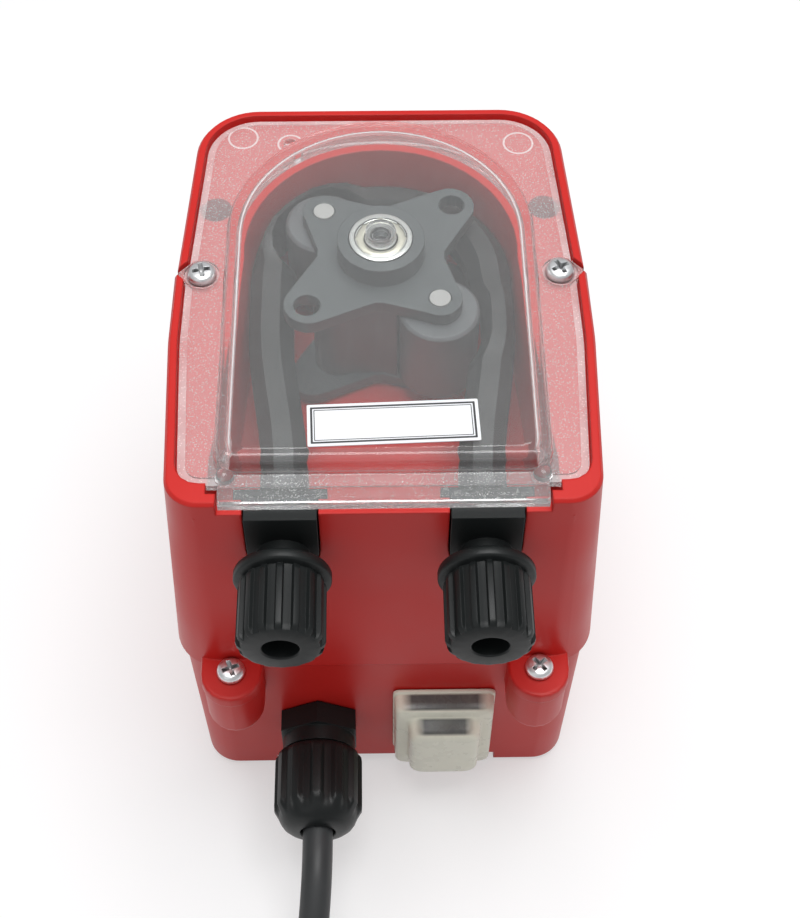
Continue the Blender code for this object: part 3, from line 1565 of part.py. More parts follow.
def make_motor():
    """The synchronous motor: a drum under the gearbox, with a bearing hole for its spindle."""
    top = GEARBOX_BOTTOM_Z - SEAT_GAP
    bottom = top - MOTOR_LENGTH
    hole = MOTOR_SHAFT_RADIUS + 0.2
    hole_bottom = GEARBOX_BOTTOM_Z - MOTOR_SPINDLE_DEPTH - 0.5
    turned(
        "motor_case",
        [
            (0, hole_bottom),
            (hole, hole_bottom),
            (hole, top),
            (MOTOR_RADIUS - 0.8, top),
            (MOTOR_RADIUS, top - 0.8),
            (MOTOR_RADIUS, bottom + 0.8),
            (MOTOR_RADIUS - 0.8, bottom),
            (0, bottom),
        ],
        "zinc_steel",
        (MOTOR_X, MOTOR_Y, 0),
        steps=28,
    )


def make_gland():
    """The cable gland: body with hexagon, seal, dome nut, and the lock nut inside the wall."""
    at = (GLAND_X, 0, GLAND_Z)
    wall = -REAR_WALL_Y + SEAT_GAP
    hex_end = wall + GLAND_HEX_THICKNESS
    collar_end = hex_end + GLAND_COLLAR
    claw_end = collar_end + GLAND_CLAW_LENGTH
    inner_end = wall - GLAND_THREAD_LENGTH
    body = turned(
        "gland_body",
        [
            (GLAND_BORE_RADIUS, claw_end),
            (GLAND_THREAD_RADIUS - 0.5, claw_end),
            (GLAND_THREAD_RADIUS, claw_end - 0.6),
            (GLAND_THREAD_RADIUS, collar_end),
            (GLAND_COLLAR_RADIUS, collar_end),
            (GLAND_COLLAR_RADIUS, hex_end - 1.0),
            (GLAND_THREAD_RADIUS, wall + 1.0),
            (GLAND_THREAD_RADIUS, inner_end),
            (CABLE_RADIUS + 0.5, inner_end),
            (CABLE_RADIUS + 0.5, hex_end - 1.0),
            (GLAND_BORE_RADIUS, hex_end),
        ],
        "black_plastic",
        at,
        "-Y",
        24,
        ring=True,
    )
    hex_hole = arc((0, 0), GLAND_THREAD_RADIUS - 0.8, 0, 330, 11)
    head = plate("gland_hexagon", [hexagon(GLAND_HEX, 30), hex_hole], wall, hex_end, at=at, axis="-Y")
    join(body, head)
    lock_top = -REAR_WALL_Y - REAR_WALL - 2 * SEAT_GAP
    plate(
        "gland_lock_nut",
        [hexagon(LOCK_NUT_HEX, 30), arc((0, 0), GLAND_THREAD_RADIUS + SEAT_GAP, 0, 345, 23)],
        lock_top - LOCK_NUT_THICKNESS,
        lock_top,
        "black_plastic",
        at,
        "-Y",
    )
    seal_start = claw_end - SEAL_LENGTH + 1.5
    washer(
        "gland_seal",
        CABLE_RADIUS + 0.3,
        GLAND_BORE_RADIUS - 0.3,
        seal_start,
        seal_start + SEAL_LENGTH,
        "seal_rubber",
        at,
        "-Y",
        24,
    )
    make_dome_nut(at, collar_end + SEAT_GAP, claw_end)


def make_dome_nut(at, start, claw_end):
    """The dome nut: a faceted grip that rounds in to the cable's hole."""
    end = start + DOME_NUT_LENGTH
    thread = GLAND_THREAD_RADIUS + SEAT_GAP
    hole = CABLE_RADIUS + 0.5
    dome = DOME_NUT_RADIUS - 0.9
    shoulder = end - 4.6
    profile = [
        (hole, end),
        (hole + 1.6, end),
        (dome - 1.8, end - 1.2),
        (dome - 0.4, end - 2.8),
        (dome, shoulder),
        (dome, start + 0.8),
        (dome - 0.8, start),
        (thread, start),
        (thread, claw_end + 0.8),
        (hole, claw_end + 3.2),
    ]
    nut = turned("gland_dome_nut", profile, "black_plastic", at, "-Y", 28, ring=True)
    pitch = 360 / DOME_NUT_FLATS
    grip = []
    for i in range(DOME_NUT_FLATS):
        grip += [
            polar(DOME_NUT_RADIUS, pitch * (i - 0.33)),
            polar(DOME_NUT_RADIUS, pitch * (i + 0.33)),
            polar(dome - 0.1, pitch * (i + 0.42)),
            polar(dome - 0.1, pitch * (i + 0.58)),
        ]
    hole_outline = arc((0, 0), thread + 0.6, 0, 345, 23)
    collar = plate("dome_nut_grip", [grip, hole_outline], start + 0.8, shoulder, at=at, axis="-Y")
    join(nut, collar)


def make_switch():
    """The rocker switch: body with bezel, rocker on its axis, and the silicone boot over both."""
    at = (SWITCH_X, 0, SWITCH_Z)
    bezel_back = REAR_WALL_Y - SEAT_GAP
    bezel_front = bezel_back - BEZEL_THICKNESS
    body = wall_plate(
        "switch_body",
        centred_rectangle(SWITCH_BODY_WIDTH, SWITCH_BODY_HEIGHT, 0.6),
        bezel_back - 1.0,
        bezel_back + SWITCH_BODY_DEPTH,
        "black_plastic",
        at,
    )
    bezel = wall_plate(
        "switch_bezel", centred_rectangle(BEZEL_WIDTH, BEZEL_HEIGHT, 1.2), bezel_front, bezel_back, at=at
    )
    pocket = wall_plate(
        "rocker_pocket",
        centred_rectangle(ROCKER_WIDTH + 2 * SEAT_GAP, ROCKER_HEIGHT + 1.6, 0.4),
        bezel_front - 2,
        bezel_back + 6.0,
        at=at,
    )
    join(body, bezel)
    cut(body, pocket)
    make_rocker((SWITCH_X, bezel_front + 1.6, SWITCH_Z))
    make_boot(at)


def centred_rectangle(width, height, radius):
    return rounded_rectangle(-width / 2, width / 2, -height / 2, height / 2, radius, 3)


def make_rocker(axis):
    """The rocker: seen from the side a shallow V, made about its own axis and stored tipped to one side."""
    half = ROCKER_HEIGHT / 2
    side_view = [
        (-half, 2.2),
        (0.0, 3.6),
        (half, 2.2),
        (half - 1.2, -1.0),
        (2.4, -3.6),
        (-2.4, -3.6),
        (-half + 1.2, -1.0),
    ]
    rocker = plate(
        "switch_rocker", [side_view], -ROCKER_WIDTH / 2, ROCKER_WIDTH / 2, "black_plastic", at=axis
    )
    rocker.data.transform(Matrix(((0, 0, 1, 0), (0, -1, 0, 0), (1, 0, 0, 0), (0, 0, 0, 1))))
    rocker.data.transform(Matrix.Rotation(math.radians(ROCKER_REST_TILT), 4, "X"))
    outward(rocker.data)


def make_boot(at):
    """The soft boot: a thin flange, a block and a bump, hollow towards the wall."""
    back = REAR_WALL_Y - SEAT_GAP
    step = back - BOOT_DEPTH
    front = step - BUMP_DEPTH
    boot = wall_loft(
        "switch_boot",
        (
            (BOOT_WIDTH + 0.6, BOOT_HEIGHT + 0.8, 1.6, back),
            (BOOT_WIDTH + 0.6, BOOT_HEIGHT + 0.8, 1.6, back - BOOT_FLANGE),
            (BOOT_WIDTH, BOOT_HEIGHT, 1.6, back - BOOT_FLANGE - 0.2),
            (BOOT_WIDTH - 0.6, BOOT_HEIGHT - 0.6, 1.8, step + 0.8),
            (BOOT_WIDTH - 1.8, BOOT_HEIGHT - 1.8, 1.6, step),
            (BUMP_WIDTH + 0.8, BUMP_HEIGHT + 0.8, 2.2, step - 0.1),
            (BUMP_WIDTH, BUMP_HEIGHT, 2.2, step - 0.8),
            (BUMP_WIDTH - 0.6, BUMP_HEIGHT - 0.8, 2.4, front + 1.0),
            (BUMP_WIDTH - 2.4, BUMP_HEIGHT - 2.6, 2.0, front),
        ),
        "boot_silicone",
        at,
    )
    wall = 2 * BOOT_WALL
    hollow = wall_loft(
        "boot_hollow",
        (
            (BOOT_WIDTH - wall, BOOT_HEIGHT - wall, 1.0, back + 2),
            (BOOT_WIDTH - wall - 0.4, BOOT_HEIGHT - wall - 0.4, 1.0, step + BOOT_WALL),
            (BUMP_WIDTH - wall, BUMP_HEIGHT - wall, 1.4, step + BOOT_WALL - 0.1),
            (BUMP_WIDTH - wall - 0.6, BUMP_HEIGHT - wall - 0.8, 1.4, front + BOOT_WALL),
        ),
        None,
        at,
    )
    cut(boot, hollow)


def wall_loft(name, steps, material, at):
    """A loft of rounded rectangles (width, height, corner, y) along the wall's normal."""
    sections = []
    for width, height, corner, y in steps:
        sections.append([(x, y, z) for x, z in centred_rectangle(width, height, corner)])
    return loft(name, sections, material, at)


def make_terminal_block():
    """Three screw terminals that join the cable's cores to the switch and the motor."""
    block = box("terminal_block", (-12, -8, 0), (12, 2, 9), "terminal_plastic", (-12, 2, BACK_WALL + SEAT_GAP))
    for i in (-1, 0, 1):
        for y in (-5.5, -0.5):
            hole = cylinder(f"terminal_hole_{i}_{y}", 1.6, 4, 12, at=(-12 + 8 * i, 2 + y, BACK_WALL), steps=12)
            cut(block, hole)
    return block


def smooth_route(points, spacing):
    """Points of a smooth curve through the route's own points, about `spacing` apart."""
    path = [Vector(point) for point in points]
    ends = [2 * path[0] - path[1]] + path + [2 * path[-1] - path[-2]]
    smooth = []
    for i in range(1, len(ends) - 2):
        a, b, c, d = ends[i - 1 : i + 3]
        steps = max(1, round((c - b).length / spacing))
        for step in range(steps):
            t = step / steps
            smooth.append(
                0.5 * (2 * b + (c - a) * t + (2 * a - 5 * b + 4 * c - d) * t**2 + (3 * b - a - 3 * c + d) * t**3)
            )
    return smooth + [path[-1]]


def cord(name, points, radius, material, spacing=14.0, resolution=2):
    """A stretch of cable or core: a curve with a round bevel and filled ends."""
    curve = bpy.data.curves.new(name, "CURVE")
    curve.dimensions = "3D"
    curve.bevel_depth = radius * MM
    curve.bevel_resolution = resolution
    curve.use_fill_caps = True
    path = smooth_route(points, spacing)
    spline = curve.splines.new("POLY")
    spline.points.add(len(path) - 1)
    for point, place_mm in zip(spline.points, path):
        point.co = (*(place_mm * MM), 1.0)
    curve.materials.append(MATERIALS[material])
    obj = bpy.data.objects.new(name, curve)
    PARTS.objects.link(obj)
    return obj


def make_cable():
    """The mains cable: the run from the gland, the coil of the rest, its tie and the stripped end."""
    cord("power_cable", CABLE_ROUTE, CABLE_RADIUS, "cable_sheath", resolution=3)
    pitch = 2 * CABLE_RADIUS
    floor = COIL_FLOOR + TIE_THICKNESS + SEAT_GAP
    inner = COIL_MEAN_RADIUS - COIL_COLUMNS * pitch / 2
    outer = COIL_MEAN_RADIUS + COIL_COLUMNS * pitch / 2
    top = floor + COIL_LAYERS * pitch
    coil_at = (COIL_X, COIL_Y, 0)
    bevel = 1.6
    turned(
        "power_cable_coil",
        [
            (inner + bevel, top),
            (outer - bevel, top),
            (outer, top - bevel),
            (outer, floor + bevel),
            (outer - bevel, floor),
            (inner + bevel, floor),
            (inner, floor + bevel),
            (inner, top - bevel),
        ],
        "cable_sheath",
        coil_at,
        steps=32,
        ring=True,
    )
    make_tie(inner, outer, floor, top)
    cord("power_cable_tail", TAIL_ROUTE, CABLE_RADIUS, "cable_sheath", resolution=3)
    make_cores()


def make_cores():
    """The three cores at the stripped end, fanned out a little."""
    end, before = Vector(TAIL_ROUTE[-1]), Vector(TAIL_ROUTE[-2])
    ahead = (end - before).normalized()
    aside = Vector((ahead.y, -ahead.x, 0))
    for colour, offset in (("brown", -1), ("blue", 0), ("green", 1)):
        route = [
            end + ahead * CORE_GAP + aside * offset * CORE_SPACING,
            end + ahead * CORE_LENGTH * 0.4 + aside * offset * CORE_SPACING * 1.3,
            end + ahead * CORE_LENGTH + aside * offset * CORE_SPACING * 2.2,
        ]
        cord(f"core_{colour}", route, CORE_RADIUS, f"core_{colour}", spacing=6.0, resolution=1)


def make_tie(inner, outer, floor, top):
    """The tie round the coil's turns: a flat band."""
    gap = SEAT_GAP
    curved_in = inner - math.sqrt(inner**2 - (TIE_WIDTH / 2) ** 2)
    low, high = inner - curved_in - 2 * gap, outer + gap
    loop = rounded_rectangle(low - TIE_THICKNESS, high + TIE_THICKNESS, floor - gap - TIE_THICKNESS,
                             top + gap + TIE_THICKNESS, 2.2, 3)
    hole = rounded_rectangle(low, high, floor - gap, top + gap, 1.6, 3)
    tie = plate("cable_tie", [loop, hole], -TIE_WIDTH / 2, TIE_WIDTH / 2, "tie_fabric")
    tie.data.transform(Matrix.Rotation(math.radians(90), 4, "X"))
    tie.location = Vector((COIL_X, COIL_Y, 0)) * MM


def main():
    global PARTS, CUTTERS
    clear_scene()
    PARTS = new_collection("Peristaltic dosing pump")
    CUTTERS = new_collection("Cutters")
    make_materials()
    make_front_housing()
    make_rear_housing()
    make_cover()
    make_label()
    make_screws()
    make_rotor()
    make_rollers()
    make_bearing()
    make_pump_tube()
    for side, name in ((-1, "left"), (1, "right")):
        make_connector(side, name)
        make_compression_nut(side, name)
    make_gear_train()
    make_gearbox()
    make_motor()
    make_gland()
    make_switch()
    make_terminal_block()
    make_cable()


main()
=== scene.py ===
"""Dresses a peristaltic dosing pump: finishes, fasteners, bearing, hose nuts, boot, label and mains cable.

Sizes in the tables are in millimetres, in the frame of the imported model, and MM turns them into metres.
"""

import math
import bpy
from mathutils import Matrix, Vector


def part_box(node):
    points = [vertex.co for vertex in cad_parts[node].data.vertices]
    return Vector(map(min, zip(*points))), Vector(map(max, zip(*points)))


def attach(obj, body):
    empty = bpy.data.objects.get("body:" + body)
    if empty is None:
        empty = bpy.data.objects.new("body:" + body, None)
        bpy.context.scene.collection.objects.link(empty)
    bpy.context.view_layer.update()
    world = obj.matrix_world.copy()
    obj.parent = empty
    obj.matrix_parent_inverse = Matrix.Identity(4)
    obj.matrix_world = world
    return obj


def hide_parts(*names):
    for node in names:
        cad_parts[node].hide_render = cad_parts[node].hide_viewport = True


bl_info = {
    "name": "Peristaltic dosing pump",
    "version": (1, 0, 0),
    "blender": (4, 5, 0),
    "location": "View3D > Sidebar > Dosing pump",
    "description": "Dresses a peristaltic dosing pump: finishes, fasteners, bearing, nuts, boot and cable",
    "category": "Object",
}

import bmesh
import bpy
from bpy.props import FloatProperty, FloatVectorProperty, IntProperty, PointerProperty
from bpy.types import Operator, Panel, PropertyGroup
from mathutils import Matrix, Vector

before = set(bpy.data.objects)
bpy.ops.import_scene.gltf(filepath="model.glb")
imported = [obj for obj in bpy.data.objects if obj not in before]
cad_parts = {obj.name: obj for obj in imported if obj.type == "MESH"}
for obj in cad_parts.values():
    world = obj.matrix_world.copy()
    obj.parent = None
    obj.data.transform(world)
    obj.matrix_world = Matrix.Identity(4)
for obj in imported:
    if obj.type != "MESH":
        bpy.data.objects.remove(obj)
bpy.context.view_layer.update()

MM = 0.001
# How near each other two points are welded, in metres.
WELD = 1e-7
RGB = {"size": 3, "min": 0.0, "max": 1.0}

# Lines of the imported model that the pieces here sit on.
PUMP_AXIS = (0.0, 13.0)
BEARING_TOP = 113.0
DOME_TOP = 117.0
FLANGE_TOP = 112.1
FLANGE_EDGE = (111.2, 111.9)
NUT_AXES = {"left": (-19.2, 97.5), "right": (19.2, 97.5)}
NUT_START = 55.4
GLAND_AXIS = (-15.05, 24.3)
REAR_WALL = -51.867
BOOT_AXIS = (13.0, 24.55)
BOOT_BACK = REAR_WALL - 0.3
BOOT_STEP = BOOT_BACK - 5.0
BOOT_FRONT = BOOT_STEP - 4.4
BOOT_WALL = 1.1

# The outline of the housing: half widths at its foot, belly, waist and top, each with what the flare adds.
RIM_Z = 113.0
SPLIT_Z = 53.0
SPLIT_GAP = 0.3
HALF_HEIGHT = 51.35
SIDES = ((40.4, 0.6), (41.9, 0.0), (41.2, 0.0), (38.3, 0.0))
BELLY_Y = -13.0
WAIST_TOP_Y = 4.8
FLARE_SIDE = 3.2
FLARE_ENDS = 1.95
FLARE_CORNER = 3.0
CORNER_RADII = (6.5, 13.0)
SKIRT_OVERHANG = 1.1
SKIRT_TAPER = 1.0
COVER_BASE = 110.0
FLANGE_END = -46.2
FLANGE_INSET = 2.15
DOME_RADIUS = 31.7

# The facets that the solids have on each round, how many finer ones each becomes, and how far inside and
# outside its arc a point still belongs to it.
CORNER_FACETS = 4
DOME_FACETS = 16
FINER = 3
RING_DEPTH = 5.0
RING_RISE = 0.6

# Ring marks on the cover's flange, as x, y and radius.
COVER_RINGS = ((-29.4, 43.7, 3.1), (29.9, 41.5, 3.1), (-19.2, 41.8, 2.6))

LABEL_SIZE = (32.0, 9.5)
LABEL_PLACE = (1.9, -36.3, DOME_TOP + 0.05)
LABEL_TURN = 2.0
# The label's two printed lines, as inset and share of the line's width.
LABEL_LINES = ((0.60, 1.0), (1.25, 0.4))

# Each screw's seat, length and the turn of its recess in degrees.
SCREWS = {
    "cover_screw_left": ((-36.3, 5.0, 111.7), 12.0, 12),
    "cover_screw_right": ((36.3, 5.0, 111.7), 12.0, 28),
    "housing_screw_lower_left": ((-32.3, -56.3, 56.5), 14.0, 20),
    "housing_screw_lower_right": ((32.3, -56.3, 56.5), 14.0, 41),
}
SCREW_HEAD = [
    (0.0, 1.86), (1.0, 1.84), (1.9, 1.74), (2.35, 1.58), (2.68, 1.30), (2.88, 0.92),
    (2.97, 0.50), (3.0, 0.22), (2.95, 0.06), (2.85, 0.0), (1.5, 0.0), (1.5, -0.6),
]
THREAD_PITCH = 0.8
# The recess tool's levels, as the reach and half width of its arms and their height over the seat.
RECESS = ((2.05, 0.56, 2.6), (1.85, 0.46, 1.75), (1.35, 0.38, 0.95), (0.55, 0.28, 0.45))

# The bearing's turned parts, as piece, the node it stands for, body, steps, finish and profile below its top.
BEARING_PARTS = (
    ("bearing_outer_race", "bearing_outer_ring", "rotor", 96, "bright", (
        (5.42, -0.32), (5.42, -0.12), (5.54, 0.0), (6.28, 0.0), (6.44, -0.08),
        (6.5, -0.24), (6.5, -4.76), (6.26, -5.0), (5.5, -5.0), (5.4, -4.8),
    )),
    ("bearing_inner_race", "bearing_inner_ring", "housing", 72, "bright", (
        (2.02, -4.8), (2.02, -0.24), (2.2, -0.04), (3.1, 0.0), (3.26, -0.12),
        (3.3, -0.3), (3.3, -4.8), (3.1, -5.0), (2.2, -5.0),
    )),
    ("bearing_pressed_shield", "bearing_shield", "rotor", 96, "shield", (
        (3.52, -0.55), (3.52, -0.38), (3.75, -0.30), (4.4, -0.34), (4.75, -0.44),
        (5.36, -0.46), (5.36, -0.62), (4.7, -0.62), (4.3, -0.56),
    )),
)
# A dark ring under the split ring's gaps: painted shade where they open on the hollow under the shield, as
# radius and height below the top.
BEARING_GAP_SHADE = ((4.98, -0.60), (4.98, -0.50), (5.44, -0.50), (5.44, -0.60))

# A hose nut's profile from its start, as radius, height and share of the ribs' depth.
NUT_PROFILE = (
    (3.5, 17.35), (3.75, 17.6), (6.7, 17.6), (7.25, 17.35, 0.15), (7.5, 16.8, 0.65), (7.5, 16.0, 1.0),
    (7.5, 9.0, 1.0), (7.5, 5.0, 1.0), (7.55, 4.2, 0.75), (7.6, 3.7, 0.3), (8.7, 3.45), (9.12, 3.3),
    (9.3, 3.0), (9.3, 1.75), (9.12, 1.35), (8.7, 1.05), (7.3, 0.3), (7.0, 0.0),
    (6.2, 0.0), (6.2, 11.6), (3.5, 12.9),
)

# The gland nut's profile: its crown back from its outer end, then its skirt out from its inner end.
GLAND_CROWN = (
    (3.75, 0.3), (4.0, 0.0), (5.2, 0.1), (6.4, 0.55), (7.5, 1.35), (8.2, 2.35),
    (8.55, 3.3, 0.1), (8.72, 4.2, 0.45), (8.76, 4.9, 0.85), (8.76, 6.0, 0.92),
)
GLAND_SKIRT = (
    (8.76, 2.0, 0.92), (8.7, 1.2, 0.85), (8.5, 0.5, 0.5), (8.1, 0.0), (7.75, 0.0), (7.75, 9.5), (3.75, 11.0),
)

# The boot's sections from its flange to its crowned button, as width, height, corner and place along Y.
BOOT_SECTIONS = (
    (22.6, 28.5, 1.5, BOOT_BACK), (22.7, 28.6, 1.6, BOOT_BACK - 0.45), (22.5, 28.4, 1.6, BOOT_BACK - 0.75),
    (22.0, 27.7, 1.7, BOOT_BACK - 0.85), (21.9, 27.6, 1.9, BOOT_BACK - 2.6),
    (21.6, 27.3, 2.1, BOOT_STEP + 0.75), (21.1, 26.8, 2.2, BOOT_STEP + 0.25),
    (20.2, 25.9, 2.2, BOOT_STEP), (17.3, 22.0, 2.4, BOOT_STEP - 0.05),
    (16.5, 21.2, 2.6, BOOT_STEP - 0.25), (16.0, 20.7, 2.7, BOOT_STEP - 0.8), (15.6, 20.2, 2.9, BOOT_STEP - 2.4),
    (15.2, 19.7, 3.0, BOOT_FRONT + 0.85), (14.5, 18.9, 2.9, BOOT_FRONT + 0.35),
    (13.4, 17.8, 2.6, BOOT_FRONT + 0.08), (10.5, 14.6, 2.2, BOOT_FRONT + 0.02), (5.0, 7.6, 1.2, BOOT_FRONT),
)

CABLE_EXIT = (-15.05, -72.0, 24.3)
CABLE_ROUTE = (
    CABLE_EXIT, (-15.05, -80.0, 24.3), (-15.2, -88.0, 23.2), (-15.8, -96.0, 19.6), (-16.9, -104.0, 14.2),
    (-18.4, -112.0, 8.8), (-20.3, -120.0, 5.0), (-22.8, -128.5, 3.6), (-26.2, -138.5, 3.5),
    (-30.2, -150.0, 3.5), (-33.7, -160.0, 3.5), (-35.8, -168.6, 3.5),
)
CABLE_TAIL = (
    (40.5, -158.4, 9.6), (37.8, -149.5, 6.4), (34.4, -141.0, 4.2), (30.6, -132.5, 3.5), (26.8, -124.5, 3.5),
)
# The coil, unwound from its first angle: what its radius and height start from, and each change's first angle,
# the degrees it takes and what it reaches.
COIL_CENTRE = (9.0, -197.0)
COIL_ANGLES = (156.1, 2208.0)
COIL_STEP = 7.5
COIL_RADII = (
    49.8, (156.1, 62, 42.9), (471, 45, 36.3), (831, 45, 29.7),
    (1461, 45, 36.3), (1821, 45, 42.9), (2178, 33, 49.8),
)
COIL_HEIGHTS = (3.5, (156.1, 50, 4.6), (1146, 45, 11.2), (2180, 31, 9.6))
TIE_WIDTH = 9.0
TIE_EDGE = 0.15
# The tie's outer and inner outlines, as inset and corner.
TIE_OUTLINES = ((0.0, 2.4), (0.78, 1.7))

# Each core's side and colour, and how far ahead of the sheath and how far apart its points lie.
CORES = {
    "brown": (-1, (0.16, 0.06, 0.025)),
    "blue": (0, (0.03, 0.11, 0.42)),
    "green": (1, (0.10, 0.38, 0.06)),
}
CORE_ROUTE = ((-0.6, 1.5), (2.2, 2.4), (6.0, 3.3), (10.5, 4.6))
CORE_RADIUS = 1.05
STRANDS_ROUTE = ((10.2, 4.52), (12.6, 5.1), (14.8, 5.5))
STRANDS_RADIUS = 0.6

FLOOR_REACH = 1.6
CAMERA_PLACE = (-0.00086, -0.21032, 0.35759)
CAMERA_HEADING = 0.0232
CAMERA_DIP = math.radians(55.4)
CAMERA_ROLL = 0.0082
CAMERA_LENS = 72.0


class PumpColours(PropertyGroup):
    housing: FloatVectorProperty(
        name="Housing",
        description="Red of the moulded housing",
        subtype="COLOR", default=(0.60, 0.019, 0.015), **RGB,
    )
    rotor: FloatVectorProperty(
        name="Rotor",
        description="Grey of the rotor's X-shaped plates and hub",
        subtype="COLOR", default=(0.060, 0.072, 0.074), **RGB,
    )
    rollers: FloatVectorProperty(
        name="Rollers",
        description="Grey of the two rollers",
        subtype="COLOR", default=(0.11, 0.12, 0.125), **RGB,
    )
    fittings: FloatVectorProperty(
        name="Fittings",
        description="Black of the hose nuts, the connectors and the cable gland",
        subtype="COLOR", default=(0.010, 0.012, 0.012), **RGB,
    )
    boot: FloatVectorProperty(
        name="Switch boot",
        description="Tint of the milky silicone over the switch",
        subtype="COLOR", default=(0.90, 0.88, 0.74), **RGB,
    )
    sheath: FloatVectorProperty(
        name="Cable sheath",
        description="Grey-black of the mains cable",
        subtype="COLOR", default=(0.026, 0.028, 0.029), **RGB,
    )


class PumpSizes(PropertyGroup):
    cable_diameter: FloatProperty(
        name="Cable diameter",
        description="Outside diameter of the mains cable",
        subtype="DISTANCE", unit="LENGTH", default=0.0066, min=0.004, max=0.0066,
    )
    rib_count: IntProperty(
        name="Nut ribs",
        description="Ribs round each hose nut's grip",
        default=16, min=8, max=32,
    )
    rib_depth: FloatProperty(
        name="Rib depth",
        description="How far the ribs stand out of a hose nut",
        subtype="DISTANCE", unit="LENGTH", default=0.00085, min=0.0001, max=0.0009,
    )
    border_line: FloatProperty(
        name="Border line",
        description="Width of the outer line printed round the label; the inner line is thinner",
        subtype="DISTANCE", unit="LENGTH", default=0.00040, min=0.0001, max=0.0006,
    )
    haze: FloatProperty(
        name="Cover haze",
        description="Share of the clear cover that scatters light, from dust and fine scratches",
        subtype="FACTOR", default=0.10, min=0.0, max=0.6,
    )


def link(obj):
    """Puts an object in the scene."""
    bpy.context.scene.collection.objects.link(obj)
    return obj


def mesh_object(name, bm):
    """Turns a bmesh into an object and frees it."""
    mesh = bpy.data.meshes.new(name)
    bm.to_mesh(mesh)
    bm.free()
    return link(bpy.data.objects.new(name, mesh))


def mesh_piece(name, bm, finish, body, sharp=35.0):
    """Closes a bmesh into a named piece that rides on a body."""
    bmesh.ops.remove_doubles(bm, verts=bm.verts, dist=WELD)
    bmesh.ops.recalc_face_normals(bm, faces=bm.faces)
    piece = mesh_object(name, bm)
    mesh = piece.data
    carried = mesh.attributes.get("custom_normal")
    if carried:
        mesh.attributes.remove(carried)
    mesh.shade_smooth()
    mesh.set_sharp_from_angle(angle=math.radians(sharp))
    mesh.materials.append(finish)
    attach(piece, body)
    return piece


def evaluated_mesh(obj):
    """A new mesh with the object's modifiers applied."""
    bpy.context.view_layer.update()
    graph = bpy.context.evaluated_depsgraph_get()
    source = obj.evaluated_get(graph)
    return bpy.data.meshes.new_from_object(source, preserve_all_data_layers=True, depsgraph=graph)


def skin(bm, rings, closed=False):
    """Faces between each ring of vertices and the next, either of which may be a single tip."""
    pairs = list(zip(rings, rings[1:]))
    if closed:
        pairs.append((rings[-1], rings[0]))
    for one, other in pairs:
        count = max(len(one), len(other))
        for i in range(count if count > 1 else 0):
            j = (i + 1) % count
            corners = []
            for vert in (one[i % len(one)], one[j % len(one)], other[j % len(other)], other[i % len(other)]):
                if vert not in corners:
                    corners.append(vert)
            bm.faces.new(corners)


def turned(profile, steps, at=(0, 0, 0), axis="Z", closed=False, ripple=None):
    """A form turned from (radius, height) points, whose third number is the share of the ripple they take."""
    bm = bmesh.new()
    rings = []
    for radius, height, *share in profile:
        if radius <= 0:
            rings.append([bm.verts.new((0, 0, height * MM))])
            continue
        ring = []
        for i in range(steps):
            angle = 2 * math.pi * i / steps
            reach = radius + (share[0] * ripple(angle) if share else 0.0)
            ring.append(bm.verts.new((reach * math.cos(angle) * MM, reach * math.sin(angle) * MM, height * MM)))
        rings.append(ring)
    skin(bm, rings, closed)
    pointing = {"Z": (0, 0, 1), "-Y": (0, -1, 0)}[axis]
    turn = Vector((0, 0, 1)).rotation_difference(Vector(pointing)).to_matrix().to_4x4()
    bmesh.ops.transform(bm, matrix=Matrix.Translation(Vector(at) * MM) @ turn, verts=bm.verts)
    return bm


def ribs(count, depth, middle, slope):
    """The ripple of a nut's grip: flat-topped ribs with rounded flanks."""

    def ripple(angle):
        return depth * smooth_step(middle + slope * math.cos(count * angle))

    return ripple


def rounded_rectangle(width, height, corner, steps=6):
    """Points of a rectangle with rounded corners about its own centre, counter-clockwise."""
    points = []
    for sign_x, sign_y, start in ((1, -1, -90), (1, 1, 0), (-1, 1, 90), (-1, -1, 180)):
        cx, cy = sign_x * (width / 2 - corner), sign_y * (height / 2 - corner)
        for i in range(steps + 1):
            angle = math.radians(start + 90 * i / steps)
            points.append((cx + corner * math.cos(angle), cy + corner * math.sin(angle)))
    return points


def at_level(outline, z):
    return [(x, y, z) for x, y in outline]


def loft(bm, sections, closed=False, capped=False):
    """Skins rings of points given in millimetres."""
    rings = [[bm.verts.new(Vector(p) * MM) for p in section] for section in sections]
    skin(bm, rings, closed)
    if capped:
        bm.faces.new(rings[0])
        bm.faces.new(rings[-1])


def smooth_step(value):
    """Goes from 0 to 1 with soft ends as the value does."""
    value = min(1.0, max(0.0, value))
    return value * value * (3 - 2 * value)


def fill(tree, socket, value):
    """Puts a value, a colour or a link into a socket."""
    if isinstance(value, bpy.types.NodeSocket):
        tree.links.new(value, socket)
    elif socket.type == "RGBA":
        socket.default_value = (*value, 1.0)
    else:
        socket.default_value = value


def node(tree, kind, inputs=(), **settings):
    """Adds a node, sets its settings and fills its inputs."""
    made = tree.nodes.new(kind)
    for key, value in settings.items():
        setattr(made, key, value)
    for key, value in dict(inputs).items():
        fill(tree, made.inputs[key], value)
    return made


def feed(tree, shader, **sockets):
    """Fills a shader's sockets, named here with underscores for spaces."""
    for key, value in sockets.items():
        fill(tree, shader.inputs[key.replace("_", " ")], value)


def new_finish(name, colour, roughness, **sockets):
    """A material with its shader, ready for the nodes that give it detail."""
    material = bpy.data.materials.new(name)
    material.use_nodes = True
    tree = material.node_tree
    shader = tree.nodes["Principled BSDF"]
    feed(tree, shader, Base_Color=colour, Roughness=roughness, **sockets)
    return material, tree, shader


def surface_point(tree, stretch=None):
    """The point on the piece in its own metres, stretched where a finish has a direction."""
    point = node(tree, "ShaderNodeTexCoord").outputs["Object"]
    if stretch is None:
        return point
    return node(tree, "ShaderNodeMapping", {"Vector": point, "Scale": stretch}).outputs["Vector"]


